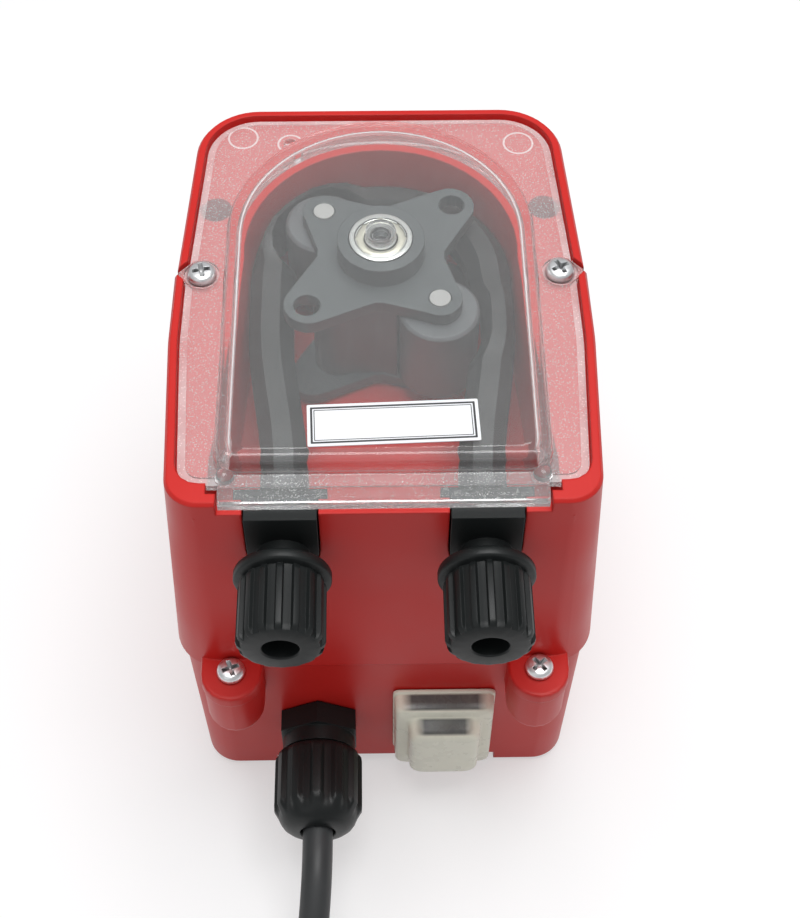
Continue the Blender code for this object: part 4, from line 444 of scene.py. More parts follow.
def split(tree, vector):
    """The X, Y and Z of a vector."""
    return node(tree, "ShaderNodeSeparateXYZ", {"Vector": vector}).outputs


def noise(tree, point, grain, detail=3.0, distortion=0.0):
    """Noise whose features are about `grain` millimetres across."""
    inputs = {"Vector": point, "Scale": 1.0 / (grain * MM), "Detail": detail, "Roughness": 0.55}
    return node(tree, "ShaderNodeTexNoise", {**inputs, "Distortion": distortion}).outputs["Fac"]


def remap(tree, value, from_low, from_high, to_low, to_high):
    """Carries one range over to another and stops at its ends."""
    inputs = {"Value": value, "From Min": from_low, "From Max": from_high, "To Min": to_low, "To Max": to_high}
    return node(tree, "ShaderNodeMapRange", inputs).outputs["Result"]


def fade(tree, length, start, end):
    """Goes from 0 at one place to 1 at another, both in millimetres."""
    return remap(tree, length, start * MM, end * MM, 0.0, 1.0)


def calc(tree, operation, first, *others, clamp=False):
    """A maths node, or a chain of them where there are more values."""
    for other in others or (0.0,):
        made = node(tree, "ShaderNodeMath", {0: first, 1: other}, operation=operation, use_clamp=clamp)
        first = made.outputs[0]
    return first


def total(tree, *values):
    return calc(tree, "ADD", *values)


def product(tree, *values):
    return calc(tree, "MULTIPLY", *values)


def offset_from(tree, value, middle):
    """How far a value is from its middle, either way."""
    return calc(tree, "ABSOLUTE", calc(tree, "SUBTRACT", value, middle))


def seen_by(tree, *kinds):
    """One for these kinds of ray, zero for the others."""
    rays = node(tree, "ShaderNodeLightPath").outputs
    return calc(tree, "MAXIMUM", *(rays[f"Is {kind} Ray"] for kind in kinds))


def blend_colours(tree, share, one, other):
    return node(tree, "ShaderNodeMix", {0: share, 6: one, 7: other}, data_type="RGBA").outputs[2]


def shade(colour, factor):
    """A colour made lighter or darker."""
    return tuple(min(1.0, part * factor) for part in colour)


def bumped(tree, height, depth, strength, normal=None):
    """A surface normal from a height map whose full range is `depth` millimetres."""
    inputs = {"Height": height, "Distance": depth * MM, "Strength": strength}
    if normal is not None:
        inputs["Normal"] = normal
    return node(tree, "ShaderNodeBump", inputs).outputs["Normal"]


def soft_edges(tree, radius):
    """Normals that round a moulded edge by a few tenths of a millimetre."""
    return node(tree, "ShaderNodeBevel", {"Radius": radius * MM}, samples=4).outputs["Normal"]


def painted_hollow_shade(tree, colour, reach):
    """A colour with painted shade, darkened in recesses and corners up to `reach` millimetres wide."""
    inputs = {"Color": colour, "Distance": reach * MM}
    return node(tree, "ShaderNodeAmbientOcclusion", inputs, samples=8).outputs["Color"]


def distance_from(tree, point, x, y):
    """The distance of a point from the upright line through (x, y), in metres."""
    centred = node(tree, "ShaderNodeVectorMath", {0: point, 1: (-x * MM, -y * MM, 0.0)}, operation="ADD")
    flat = node(
        tree, "ShaderNodeVectorMath", {0: centred.outputs[0], 1: (1.0, 1.0, 0.0)}, operation="MULTIPLY"
    )
    return node(tree, "ShaderNodeVectorMath", {0: flat.outputs[0]}, operation="LENGTH").outputs["Value"]


def ring_mark(tree, point, x, y, radius, width):
    """One on a thin ring round (x, y), zero elsewhere."""
    off = offset_from(tree, distance_from(tree, point, x, y), radius * MM)
    return remap(tree, off, width * 0.4 * MM, width * MM, 1.0, 0.0)


def moulded_finish(
    name, colour, roughness, grain=0.5, depth=0.012, tone=0.10, edge=0.35, scuffs=0.5, **sockets
):
    """Injection-moulded plastic: an even skin with fine grain, slight tone changes, scuffs and soft edges."""
    material, tree, shader = new_finish(name, colour, roughness, **sockets)
    point = surface_point(tree)
    broad = noise(tree, point, 24.0, detail=2.0)
    fine = noise(tree, point, grain, detail=2.0)
    scratches = noise(tree, surface_point(tree, (1.0, 0.06, 1.0)), 0.9, detail=4.0, distortion=0.6)
    marks = remap(tree, scratches, 0.60, 0.74, 0.0, 1.0)
    toned = blend_colours(tree, broad, shade(colour, 1 - tone), shade(colour, 1 + tone))
    uneven = remap(tree, broad, 0.3, 0.7, roughness - 0.05, roughness + 0.06)
    feed(
        tree,
        shader,
        Base_Color=blend_colours(tree, product(tree, marks, 0.10 * scuffs), toned, shade(colour, 1.9)),
        Roughness=total(tree, uneven, product(tree, marks, 0.12 * scuffs)),
        Normal=bumped(tree, fine, depth, 0.6, soft_edges(tree, edge)),
    )
    return material


def metal_finish(name, colour, roughness, stretch=None, grain=0.5, depth=0.006, edge=0.12):
    """Plated or ground steel: fine marks along its working direction, slight stains and painted shade in its
    hollows.
    """
    material, tree, shader = new_finish(name, colour, roughness, Metallic=1.0)
    marks = noise(tree, surface_point(tree, stretch), grain, detail=5.0)
    stains = noise(tree, surface_point(tree), 2.4)
    toned = blend_colours(tree, stains, shade(colour, 0.82), shade(colour, 1.06))
    # The base colour gets painted shade in hollows and recesses from ambient occlusion.
    feed(
        tree,
        shader,
        Base_Color=painted_hollow_shade(tree, toned, 0.9),
        Roughness=remap(tree, marks, 0.3, 0.7, roughness - 0.07, roughness + 0.10),
        Normal=bumped(tree, marks, depth, 0.5, soft_edges(tree, edge)),
    )
    return material


def rubber_finish(name, colour, roughness, bloom=0.2):
    """Rubber or silicone hose: matt black with a faint dusty bloom."""
    material, tree, shader = new_finish(name, colour, roughness)
    point = surface_point(tree)
    dust = remap(tree, noise(tree, point, 6.0, detail=5.0), 0.45, 0.75, 0.0, bloom)
    feed(
        tree,
        shader,
        Base_Color=blend_colours(tree, dust, colour, tuple(0.5 * c + 0.045 for c in colour)),
        Roughness=remap(tree, dust, 0.0, bloom, roughness - 0.05, roughness + 0.1),
        Normal=bumped(tree, noise(tree, point, 0.5), 0.003, 0.5),
    )
    return material


def corner_arc(before, here, after, radius):
    """A rounded corner's centre, the angle where its arc starts, its sweep, its radius and its facets."""
    here = Vector(here)
    before, after = (Vector(before) - here).normalized(), (Vector(after) - here).normalized()
    half = math.acos(before.dot(after)) / 2
    centre = here + (before + after).normalized() * (radius / math.sin(half))
    spoke = here + before * (radius / math.tan(half)) - centre
    return centre, math.atan2(spoke.y, spoke.x), math.pi - 2 * half, radius, CORNER_FACETS


def outline_arcs(flare, inset=0.0, low_y=None):
    """The four corner arcs of the housing's outline, as the solids have it."""
    side = flare * FLARE_SIDE - inset
    ends = HALF_HEIGHT + flare * FLARE_ENDS - inset
    low_y = -ends if low_y is None else low_y
    foot, belly, waist, top = (width + flare * more + side for width, more in SIDES)
    low_radius, top_radius = (max(radius + flare * FLARE_CORNER - inset, 1.0) for radius in CORNER_RADII)
    right = [
        corner_arc((-foot, low_y), (foot, low_y), (belly, BELLY_Y), low_radius),
        corner_arc((waist, WAIST_TOP_Y), (top, ends), (-top, ends), top_radius),
    ]
    left = [(Vector((-c.x, c.y)), math.pi - start, -sweep, *rest) for c, start, sweep, *rest in right]
    return right + left


def front_arcs(z):
    """The front half's corners at a height: they flare from the rim back to the split."""
    return outline_arcs(max(0.0, (RIM_Z - z) / (RIM_Z - SPLIT_Z)))


def rear_arcs(z):
    """The rear half's corners at a height: they taper from the split to the back."""
    inset = SKIRT_OVERHANG + SKIRT_TAPER - z / (SPLIT_Z - SPLIT_GAP)
    return outline_arcs(1.0, inset, REAR_WALL)


def cover_arcs(z):
    """The corners of the cover's flange and the upper half of its dome, the same at every height."""
    dome = (Vector(PUMP_AXIS), 0.0, math.pi, DOME_RADIUS, DOME_FACETS)
    return outline_arcs(0.0, FLANGE_INSET, FLANGE_END) + [dome]


def place_on_arc(point, arc):
    """Where a point lies on an arc's ring, as a share of its sweep, or None."""
    centre, start, sweep, radius, _ = arc
    spoke = Vector((point.x / MM, point.y / MM)) - centre
    if not radius - RING_DEPTH < spoke.length < radius + RING_RISE:
        return None
    turn = (math.atan2(spoke.y, spoke.x) - start) * math.copysign(1, sweep)
    turn = (turn + math.pi) % (2 * math.pi) - math.pi
    share = turn / abs(sweep)
    if -0.01 < share < 1.01 or (sweep == math.pi and share < -0.99):
        return min(1.0, max(0.0, share if share > -0.5 else 1.0))
    return None


def round_facets(bm, arcs, low, high):
    """Splits the facets of each arc and moves their new points out onto the true round."""
    for i in range(len(arcs(low))):
        foot, start, sweep, _, facets = arcs(low)[i]
        lean = Vector((*(arcs(high)[i][0] - foot), high - low))
        for step in range(1, facets * FINER):
            if step % FINER == 0:
                continue
            angle = start + sweep * step / (facets * FINER)
            normal = lean.cross(Vector((math.cos(angle), math.sin(angle), 0))).normalized()
            near = {v for v in bm.verts if place_on_arc(v.co, arcs(v.co.z / MM)[i]) is not None}
            edges = [e for e in bm.edges if e.verts[0] in near and e.verts[1] in near]
            faces = [f for f in bm.faces if all(v in near for v in f.verts)]
            bmesh.ops.bisect_plane(
                bm,
                geom=list(near) + edges + faces,
                dist=WELD,
                plane_co=Vector((*foot, low)) * MM,
                plane_no=normal,
            )
        for vert in bm.verts:
            arc = arcs(vert.co.z / MM)[i]
            share = place_on_arc(vert.co, arc)
            if share is None:
                continue
            centre, _, sweep, _, facets = arc
            half = abs(sweep) / facets / 2
            offset = (share * facets % 1.0 - 0.5) * 2 * half
            factor = math.cos(offset) / math.cos(half)
            centre = centre * MM
            vert.co.x = centre.x + (vert.co.x - centre.x) * factor
            vert.co.y = centre.y + (vert.co.y - centre.y) * factor


def even_normals(piece):
    """Weighs a piece's normals by face area, so that flat walls stay flat beside their rounds."""
    even = piece.modifiers.new("even", "WEIGHTED_NORMAL")
    even.keep_sharp = True
    mesh = evaluated_mesh(piece)
    piece.modifiers.clear()
    old, piece.data = piece.data, mesh
    bpy.data.meshes.remove(old)


def smooth_copy(name, finish, body, arcs=None, low=0.0, high=1.0, sharp=32.0):
    """A piece with the form of a CAD node, shaded smooth, and its rounds made finer where arcs give them."""
    bm = bmesh.new()
    bm.from_mesh(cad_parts[name].data)
    bmesh.ops.remove_doubles(bm, verts=bm.verts, dist=WELD)
    bmesh.ops.dissolve_limit(bm, angle_limit=math.radians(0.2), verts=bm.verts, edges=bm.edges)
    if arcs:
        round_facets(bm, arcs, low, high)
    piece = mesh_piece(f"{name}_form", bm, finish, body, sharp)
    even_normals(piece)
    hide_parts(name)


def dress(finish, *names):
    """Gives CAD nodes a finish by their material slots."""
    for name in names:
        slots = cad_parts[name].material_slots
        if not slots:
            raise RuntimeError(f"{name} has no material slot")
        for each in slots:
            each.material = finish


class PUMP_OT_stage(Operator):
    """Sets the floor, the soft studio light and the camera at the photograph's angle"""

    bl_idname = "pump.stage"
    bl_label = "Stage"

    def execute(self, context):
        scene = context.scene
        scene.view_settings.view_transform = "Standard"
        make_floor()
        make_world(scene)
        add_light("key_light", (0.06, 0.02, 0.95), (0.0, 0.0, 0.05), 0.56, 6.2)
        add_light("fill_light", (-0.55, -0.75, 0.70), (0.0, -0.02, 0.05), 0.60, 0.5)
        scene.camera = make_camera()
        return {"FINISHED"}


def make_floor():
    """A pale floor that shows its own colour behind the object and keeps the object's shadow."""
    material, tree, shader = new_finish("floor_card", (0.56, 0.56, 0.56), 0.9, Specular_IOR_Level=0.0)
    tone = noise(tree, surface_point(tree), 60.0, detail=2.0)
    feed(tree, shader, Base_Color=blend_colours(tree, tone, (0.55, 0.55, 0.553), (0.57, 0.57, 0.573)))
    level = product(tree, seen_by(tree, "Camera", "Glossy", "Transmission"), 0.46)
    glow = node(tree, "ShaderNodeEmission", {"Color": (1.0, 1.0, 1.0), "Strength": level})
    both = node(tree, "ShaderNodeAddShader", {0: shader.outputs[0], 1: glow.outputs[0]})
    feed(tree, tree.nodes["Material Output"], Surface=both.outputs[0])
    bm = bmesh.new()
    corners = ((-1, -1), (1, -1), (1, 1), (-1, 1))
    bm.faces.new([bm.verts.new((x * FLOOR_REACH, y * FLOOR_REACH, 0.0)) for x, y in corners])
    floor = mesh_object("floor", bm)
    floor.data.materials.append(material)


def make_world(scene):
    """Soft light from all round, which the camera and clear pieces see as a bright background."""
    world = bpy.data.worlds.new("studio")
    world.use_nodes = True
    tree = world.node_tree
    glossy = product(tree, node(tree, "ShaderNodeLightPath").outputs["Is Glossy Ray"], 0.04)
    level = calc(tree, "MAXIMUM", seen_by(tree, "Camera", "Transmission"), glossy)
    strength = remap(tree, level, 0.0, 1.0, 0.42, 0.98)
    feed(tree, tree.nodes["Background"], Color=(0.98, 0.985, 1.0), Strength=strength)
    scene.world = world


def add_light(name, place, target, size, power):
    """A square area light that faces its target."""
    data = bpy.data.lights.new(name, "AREA")
    data.shape = "SQUARE"
    data.size = size
    data.energy = power
    light = link(bpy.data.objects.new(name, data))
    light.location = place
    light.rotation_euler = (Vector(target) - Vector(place)).to_track_quat("-Z", "Y").to_euler()


def make_camera():
    """The camera where the photograph was taken from."""
    data = bpy.data.cameras.new("camera")
    data.lens = CAMERA_LENS
    data.sensor_width = 36.0
    data.sensor_fit = "HORIZONTAL"
    camera = link(bpy.data.objects.new("camera", data))
    heading, dip = CAMERA_HEADING, CAMERA_DIP
    forward = Vector((math.sin(heading) * math.cos(dip), math.cos(heading) * math.cos(dip), -math.sin(dip)))
    right = Vector((math.cos(heading), -math.sin(heading), 0.0))
    up = right.cross(forward)
    cos, sin = math.cos(CAMERA_ROLL), math.sin(CAMERA_ROLL)
    right, up = cos * right + sin * up, -sin * right + cos * up
    turn = Matrix((right, up, -forward)).transposed()
    camera.matrix_world = Matrix.Translation(CAMERA_PLACE) @ turn.to_4x4()
    return camera


def smooth_route(points, spacing):
    """Points of a smooth curve through a route's own points, about `spacing` apart."""
    path = [Vector(point) for point in points]
    ends = [2 * path[0] - path[1]] + path + [2 * path[-1] - path[-2]]
    smooth = []
    for i in range(1, len(ends) - 2):
        a, b, c, d = ends[i - 1 : i + 3]
        steps = max(1, round((c - b).length / spacing))
        for step in range(steps):
            t = step / steps
            squared, cubed = 2 * a - 5 * b + 4 * c - d, 3 * b - a - 3 * c + d
            smooth.append(0.5 * (2 * b + (c - a) * t + squared * t**2 + cubed * t**3))
    return smooth + [path[-1]]


def unwound(levels, angle):
    """A coil's radius or height at an angle, from its first level through each change to the next."""
    level, *changes = levels
    reached = level
    for start, degrees, target in changes:
        reached += (target - level) * smooth_step((angle - start) / degrees)
        level = target
    return reached


def coil_point(angle):
    """The cable's centre in the coil at an unwound angle in degrees: three turns in, up, and two out."""
    radius, turn = unwound(COIL_RADII, angle), math.radians(angle)
    x, y = COIL_CENTRE
    return (x + radius * math.cos(turn), y + radius * math.sin(turn), unwound(COIL_HEIGHTS, angle))


def cable_path():
    """The whole cable in millimetres: its free run, its coil and its tail."""
    first, last = COIL_ANGLES
    count = math.ceil((last - first) / COIL_STEP)
    coil = tuple(coil_point(first + COIL_STEP * i) for i in range(count))
    return smooth_route(CABLE_ROUTE + coil + CABLE_TAIL, 2.5)


def cord_curve(name, path, radius, finish, sides=5):
    """A round cord with its radius in metres, along a path in millimetres, as one open spline."""
    curve = bpy.data.curves.new(name, "CURVE")
    curve.dimensions = "3D"
    curve.bevel_depth = radius
    curve.bevel_resolution = sides
    curve.use_fill_caps = True
    spline = curve.splines.new("POLY")
    spline.points.add(len(path) - 1)
    for point, here in zip(spline.points, path):
        point.co = (*(Vector(here) * MM), 1.0)
    curve.materials.append(finish)
    return link(bpy.data.objects.new(name, curve))


def sheath_finish(colour):
    """The cable's sheath: matt plastic with lengthwise flow marks and a rubbed sheen."""
    material, tree, shader = new_finish("cable_sheath_finish", colour, 0.5)
    rubbed = noise(tree, surface_point(tree), 9.0)
    grain = noise(tree, surface_point(tree, (1.0, 0.25, 1.0)), 0.35)
    feed(
        tree,
        shader,
        Base_Color=blend_colours(tree, rubbed, shade(colour, 0.8), shade(colour, 1.5)),
        Roughness=remap(tree, rubbed, 0.3, 0.7, 0.42, 0.60),
        Normal=bumped(tree, grain, 0.02, 0.6),
    )
    return material


class PUMP_OT_mains_cable(Operator):
    """Lays the mains cable from its gland into a neat coil, with its tie and its stripped end"""

    bl_idname = "pump.mains_cable"
    bl_label = "Mains cable"

    def execute(self, context):
        sizes, colours = context.scene.pump_sizes, context.scene.pump_colours
        path = cable_path()
        length = sum((b - a).length for a, b in zip(path, path[1:])) * MM
        if not 1.2 < length < 1.8:
            raise RuntimeError(f"the cable is {length:.2f} m long")
        finish = sheath_finish(tuple(colours.sheath))
        cable = cord_curve("mains_cable", path, sizes.cable_diameter / 2, finish)
        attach(cable, "housing")
        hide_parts("power_cable", "power_cable_coil", "power_cable_tail")
        pieces = [make_tie(), *make_cores()]
        return {"FINISHED"}


def tie_finish():
    """Woven hook-and-loop tape: rows of weave under fine loops."""
    material, tree, shader = new_finish("tie_weave", (0.02, 0.02, 0.022), 0.85)
    point = surface_point(tree)
    weave = {"Vector": point, "Scale": 900.0, "Distortion": 1.2, "Detail": 2.0}
    rows = node(tree, "ShaderNodeTexWave", weave, bands_direction="Y").outputs["Fac"]
    loops = noise(tree, point, 0.4, detail=2.0)
    feed(
        tree,
        shader,
        Base_Color=blend_colours(tree, loops, (0.014, 0.014, 0.015), (0.05, 0.05, 0.053)),
        Normal=bumped(tree, total(tree, rows, loops), 0.12, 0.8),
    )
    return material


def make_tie():
    """A woven strap round the coil's turns."""
    low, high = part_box("cable_tie")
    centre, size = (low + high) / 2 / MM, (high - low) / MM
    half = TIE_WIDTH / 2 - TIE_EDGE
    outer, inner = (
        rounded_rectangle(size.x - 2 * inset, size.z - 2 * inset, corner) for inset, corner in TIE_OUTLINES
    )
    rings = ((outer, half), (outer, -half), (inner, -half), (inner, half))
    sections = [[(centre.x + x, centre.y + y, centre.z + z) for x, z in outline] for outline, y in rings]
    bm = bmesh.new()
    loft(bm, sections, closed=True)
    tie = mesh_piece("cable_tie_strap", bm, tie_finish(), "housing")
    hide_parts("cable_tie")
    return tie


def make_cores():
    """The three insulated cores past the sheath, each with a short twist of bare copper."""
    copper = metal_finish("copper_strands", (0.72, 0.32, 0.16), 0.35, (1.0, 0.3, 1.0), 0.25, 0.05, edge=0.05)
    end, before = Vector(CABLE_TAIL[-1]), Vector(CABLE_TAIL[-2])
    ahead = (end - before).normalized()
    aside = Vector((ahead.y, -ahead.x, 0))
    pieces = []
    for colour, (side, hue) in CORES.items():
        slot = f"core_{colour}"
        spread = aside * side
        for part, stations, radius, finish in (
            ("insulation", CORE_ROUTE, CORE_RADIUS, core_finish(colour, hue)),
            ("strands", STRANDS_ROUTE, STRANDS_RADIUS, copper),
        ):
            route = [end + ahead * along + spread * out for along, out in stations]
            piece = cord_curve(f"{slot}_{part}", smooth_route(route, 0.8), radius * MM, finish, 3)
            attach(piece, "housing")
            if part == "insulation":
                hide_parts(slot)
            pieces.append(piece)
    return pieces


def core_finish(name, colour):
    """Core insulation; the earth core has its second colour in a stripe."""
    material, tree, shader = new_finish(f"core_{name}_finish", colour, 0.42)
    tone = noise(tree, surface_point(tree), 1.5)
    base = blend_colours(tree, tone, shade(colour, 0.85), shade(colour, 1.15))
    if name == "green":
        bands = {"Vector": surface_point(tree), "Scale": 180.0}
        stripes = node(tree, "ShaderNodeTexWave", bands, bands_direction="X").outputs["Fac"]
        base = blend_colours(tree, remap(tree, stripes, 0.55, 0.65, 0.0, 1.0), base, (0.80, 0.62, 0.03))
    feed(tree, shader, Base_Color=base, Roughness=remap(tree, tone, 0.3, 0.7, 0.36, 0.48))
    return material


class PUMP_OT_housing(Operator):
    """Finishes both halves of the moulded housing in glossy red with fine grain and scuffs"""

    bl_idname = "pump.housing"
    bl_label = "Housing"

    def execute(self, context):
        colour = tuple(context.scene.pump_colours.housing)
        look = {"grain": 0.45, "depth": 0.010, "tone": 0.05, "edge": 0.55, "scuffs": 0.4}
        red = moulded_finish("housing_red", colour, 0.38, **look, Specular_IOR_Level=0.32)
        smooth_copy("front_housing", red, "housing", front_arcs, SPLIT_Z, RIM_Z)
        smooth_copy("rear_housing", red, "housing", rear_arcs, 0.0, SPLIT_Z)
        return {"FINISHED"}


def cover_finish(haze):
    """Clear moulded plastic with dust and fine scratches, and with grit and ring marks on its flat flange."""
    material, tree, glass = new_finish(
        "clear_cover", (0.965, 0.97, 0.965), 0.045, Transmission_Weight=1.0, IOR=1.49
    )
    point = surface_point(tree)
    height = split(tree, point)["Z"]
    flange = fade(tree, height, FLANGE_TOP + 0.6, FLANGE_TOP + 0.15)
    upper_face = product(tree, fade(tree, height, FLANGE_TOP - 0.3, FLANGE_TOP - 0.1), flange)
    edge_low, edge_high = FLANGE_EDGE
    edge = product(
        tree, fade(tree, height, edge_low, edge_low + 0.2), fade(tree, height, edge_high, edge_high - 0.2)
    )
    dust = noise(tree, point, 0.32)
    clouds = noise(tree, point, 11.0)
    grit = node(tree, "ShaderNodeTexVoronoi", {"Vector": point, "Scale": 1.0 / (0.55 * MM)}).outputs
    speckle = remap(tree, grit["Distance"], 0.14, 0.30, 1.0, 0.0)
    scratches = noise(tree, surface_point(tree, (1.0, 0.05, 1.0)), 0.5, 4.0, distortion=1.0)
    scratches = remap(tree, scratches, 0.64, 0.74, 0.0, 1.0)
    even = total(tree, haze * 0.35, product(tree, clouds, haze * 0.25))
    on_flange = total(
        tree,
        product(tree, flange, total(tree, 0.10, product(tree, speckle, 0.24))),
        product(tree, edge, remap(tree, clouds, 0.3, 0.7, 0.10, 0.34)),
    )
    worn = total(tree, product(tree, scratches, 0.05), product(tree, speckle, 0.03))
    for x, y, radius in COVER_RINGS:
        worn = total(tree, worn, product(tree, ring_mark(tree, point, x, y, radius, 0.3), upper_face, 0.45))
    share = calc(tree, "ADD", total(tree, even, on_flange), worn, clamp=True)
    feed(
        tree,
        glass,
        Roughness=remap(tree, dust, 0.3, 0.7, 0.02, 0.09),
        Normal=bumped(tree, clouds, 0.02, 0.3, soft_edges(tree, 0.3)),
    )
    milky = node(tree, "ShaderNodeBsdfDiffuse", {"Color": (0.86, 0.87, 0.87)})
    clear = node(tree, "ShaderNodeBsdfTransparent", {"Color": (0.93, 0.935, 0.935)})
    surface = node(tree, "ShaderNodeMixShader", {0: share, 1: glass.outputs[0], 2: milky.outputs[0]})
    passing = seen_by(tree, "Shadow", "Diffuse")
    whole = node(tree, "ShaderNodeMixShader", {0: passing, 1: surface.outputs[0], 2: clear.outputs[0]})
    feed(tree, tree.nodes["Material Output"], Surface=whole.outputs[0])
    return material


class PUMP_OT_clear_cover(Operator):
    """Finishes the clear domed cover over the rotor"""

    bl_idname = "pump.clear_cover"
    bl_label = "Clear cover"

    def execute(self, context):
        finish = cover_finish(context.scene.pump_sizes.haze)
        smooth_copy("cover", finish, "housing", cover_arcs, COVER_BASE, DOME_TOP)
        return {"FINISHED"}


def label_finish():
    """White printed film with a faint paper tone."""
    material, tree, shader = new_finish("label_white", (0.86, 0.88, 0.90), 0.42)
    fibre = noise(tree, surface_point(tree), 0.8, detail=4.0)
    tone = blend_colours(tree, fibre, (0.82, 0.84, 0.87), (0.90, 0.91, 0.93))
    feed(tree, shader, Base_Color=tone, Normal=bumped(tree, fibre, 0.006, 0.4))
    return material


def ink_finish():
    """Black print, worn a little grey."""
    material, tree, shader = new_finish("label_ink", (0.025, 0.025, 0.03), 0.5)
    wear = noise(tree, surface_point(tree), 0.3)
    feed(tree, shader, Base_Color=blend_colours(tree, wear, (0.018, 0.018, 0.02), (0.06, 0.06, 0.065)))
    return material


def label_outline(inset, corner, steps):
    width, height = LABEL_SIZE
    return rounded_rectangle(width - 2 * inset, height - 2 * inset, corner, steps)


class PUMP_OT_label(Operator):
    """Sticks the bare label with its double border on the dome"""

    bl_idname = "pump.label"
    bl_label = "Label"

    def execute(self, context):
        line = context.scene.pump_sizes.border_line / MM
        turn = Matrix.Rotation(math.radians(LABEL_TURN), 4, "Z")
        place = Matrix.Translation(Vector(LABEL_PLACE) * MM) @ turn
        bm = bmesh.new()
        sheet = label_outline(0.0, 0.25, 3)
        loft(bm, [[(0, 0, 0)], at_level(sheet, 0.0), at_level(sheet, 0.2), [(0, 0, 0.2)]])
        bmesh.ops.transform(bm, matrix=place, verts=bm.verts)
        label = mesh_piece("label_sheet", bm, label_finish(), "housing")
        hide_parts("label")
        bm = bmesh.new()
        low, high = 0.19, 0.215
        for inset, share in LABEL_LINES:
            outer = label_outline(inset, 0.12, 2)
            inner = label_outline(inset + line * share, 0.08, 2)
            rings = ((outer, low), (outer, high), (inner, high), (inner, low))
            loft(bm, [at_level(outline, z) for outline, z in rings], closed=True)
        bmesh.ops.transform(bm, matrix=place, verts=bm.verts)
        mesh_piece("label_border", bm, ink_finish(), "housing")
        return {"FINISHED"}


def cross_outline(reach, half):
    """The outline of a cross recess, arm by arm."""
    arm = [(reach, -half), (reach, half), (half, half)]
    outline = []
    for _ in range(4):
        outline += arm
        arm = [(-y, x) for x, y in arm]
    return outline


def screw_blank(length):
    """A screw's domed head with its collar and its threaded shank, before its recess is cut."""
    thread = []
    for i in range(int((length - 2.4) / THREAD_PITCH)):
        z = -THREAD_PITCH - THREAD_PITCH * i
        thread += [(1.18, z), (1.46, z - 0.3), (1.46, z - 0.42), (1.18, z - 0.7)]
    tip = [(0.9, -length + 0.9), (0.35, -length + 0.2), (0.0, -length + 0.05)]
    bm = turned(SCREW_HEAD + thread + tip, 40)
    bmesh.ops.recalc_face_normals(bm, faces=bm.faces)
    return mesh_object("screw_blank", bm)


def recess_tool(turn):
    """The tapered cross that cuts a screw's recess."""
    bm = bmesh.new()
    loft(bm, [at_level(cross_outline(reach, half), z) for reach, half, z in RECESS], capped=True)
    bmesh.ops.recalc_face_normals(bm, faces=bm.faces)
    bmesh.ops.rotate(bm, matrix=Matrix.Rotation(math.radians(turn), 3, "Z"), verts=bm.verts)
    return mesh_object("recess_tool", bm)


def make_screw(name, finish):
    """A pan-head screw with its cross recess."""
    seat, length, turn = SCREWS[name]
    blank, tool = screw_blank(length), recess_tool(turn)
    recess = blank.modifiers.new("recess", "BOOLEAN")
    recess.operation = "DIFFERENCE"
    recess.solver = "EXACT"
    recess.object = tool
    finished = evaluated_mesh(blank)
    for used in (blank, tool):
        bpy.data.objects.remove(used, do_unlink=True)
    bm = bmesh.new()
    bm.from_mesh(finished)
    bpy.data.meshes.remove(finished)
    bmesh.ops.translate(bm, vec=Vector(seat) * MM, verts=bm.verts)
    piece = mesh_piece(f"{name}_detail", bm, finish, "housing", sharp=30)
    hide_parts(name)


class PUMP_OT_screws(Operator):
    """Puts a pan-head screw with a cross recess in each of the four visible places"""

    bl_idname = "pump.screws"
    bl_label = "Screws"

    def execute(self, context):
        zinc = metal_finish("zinc_plate", (0.93, 0.94, 0.96), 0.34, grain=0.6, depth=0.01)
        for name in SCREWS:
            make_screw(name, zinc)
        dress(zinc, "housing_screw_upper_left", "housing_screw_upper_right")
        return {"FINISHED"}


class PUMP_OT_rotor(Operator):
    """Finishes the rotor, its two rollers, their pins and the shaft"""

    bl_idname = "pump.rotor"
    bl_label = "Rotor"

    def execute(self, context):
        colours = context.scene.pump_colours
        look = {"grain": 0.8, "depth": 0.0015, "tone": 0.08, "edge": 0.45}
        grey = moulded_finish("rotor_grey", tuple(colours.rotor), 0.44, **look)
        look = {"grain": 0.6, "depth": 0.004, "edge": 0.4}
        lighter = moulded_finish("roller_grey", tuple(colours.rollers), 0.40, **look)
        pins = moulded_finish("sanded_pins", (0.46, 0.46, 0.445), 0.5, grain=0.4, depth=0.02, edge=0.15)
        smooth_copy("rotor_frame", grey, "rotor")
        smooth_copy("roller_1", lighter, "first_roller")
        smooth_copy("roller_2", lighter, "second_roller")
        dress(pins, "roller_pin_1", "roller_pin_2")
        dress(metal_finish("shaft_steel", (0.70, 0.71, 0.72), 0.3), "output_shaft")
        return {"FINISHED"}


def bearing_finish(name, colour, roughness):
    """Turned bearing steel: rings of tool marks round the pump's axis, slight stains and painted shade in its
    hollows.
    """
    material, tree, shader = new_finish(name, colour, roughness, Metallic=1.0)
    point = surface_point(tree)
    across = product(tree, distance_from(tree, point, *PUMP_AXIS), 9000.0)
    marks = {"W": across, "Scale": 1.0, "Detail": 2.0}
    rings = node(tree, "ShaderNodeTexNoise", marks, noise_dimensions="1D").outputs["Fac"]
    stains = noise(tree, point, 1.4, detail=4.0)
    toned = blend_colours(tree, stains, shade(colour, 0.86), shade(colour, 1.04))
    # The base colour gets painted shade in hollows from ambient occlusion.
    feed(
        tree,
        shader,
        Base_Color=painted_hollow_shade(tree, toned, 0.5),
        Roughness=remap(tree, rings, 0.3, 0.7, roughness - 0.06, roughness + 0.08),
        Normal=bumped(tree, rings, 0.006, 0.5),
    )
    return material


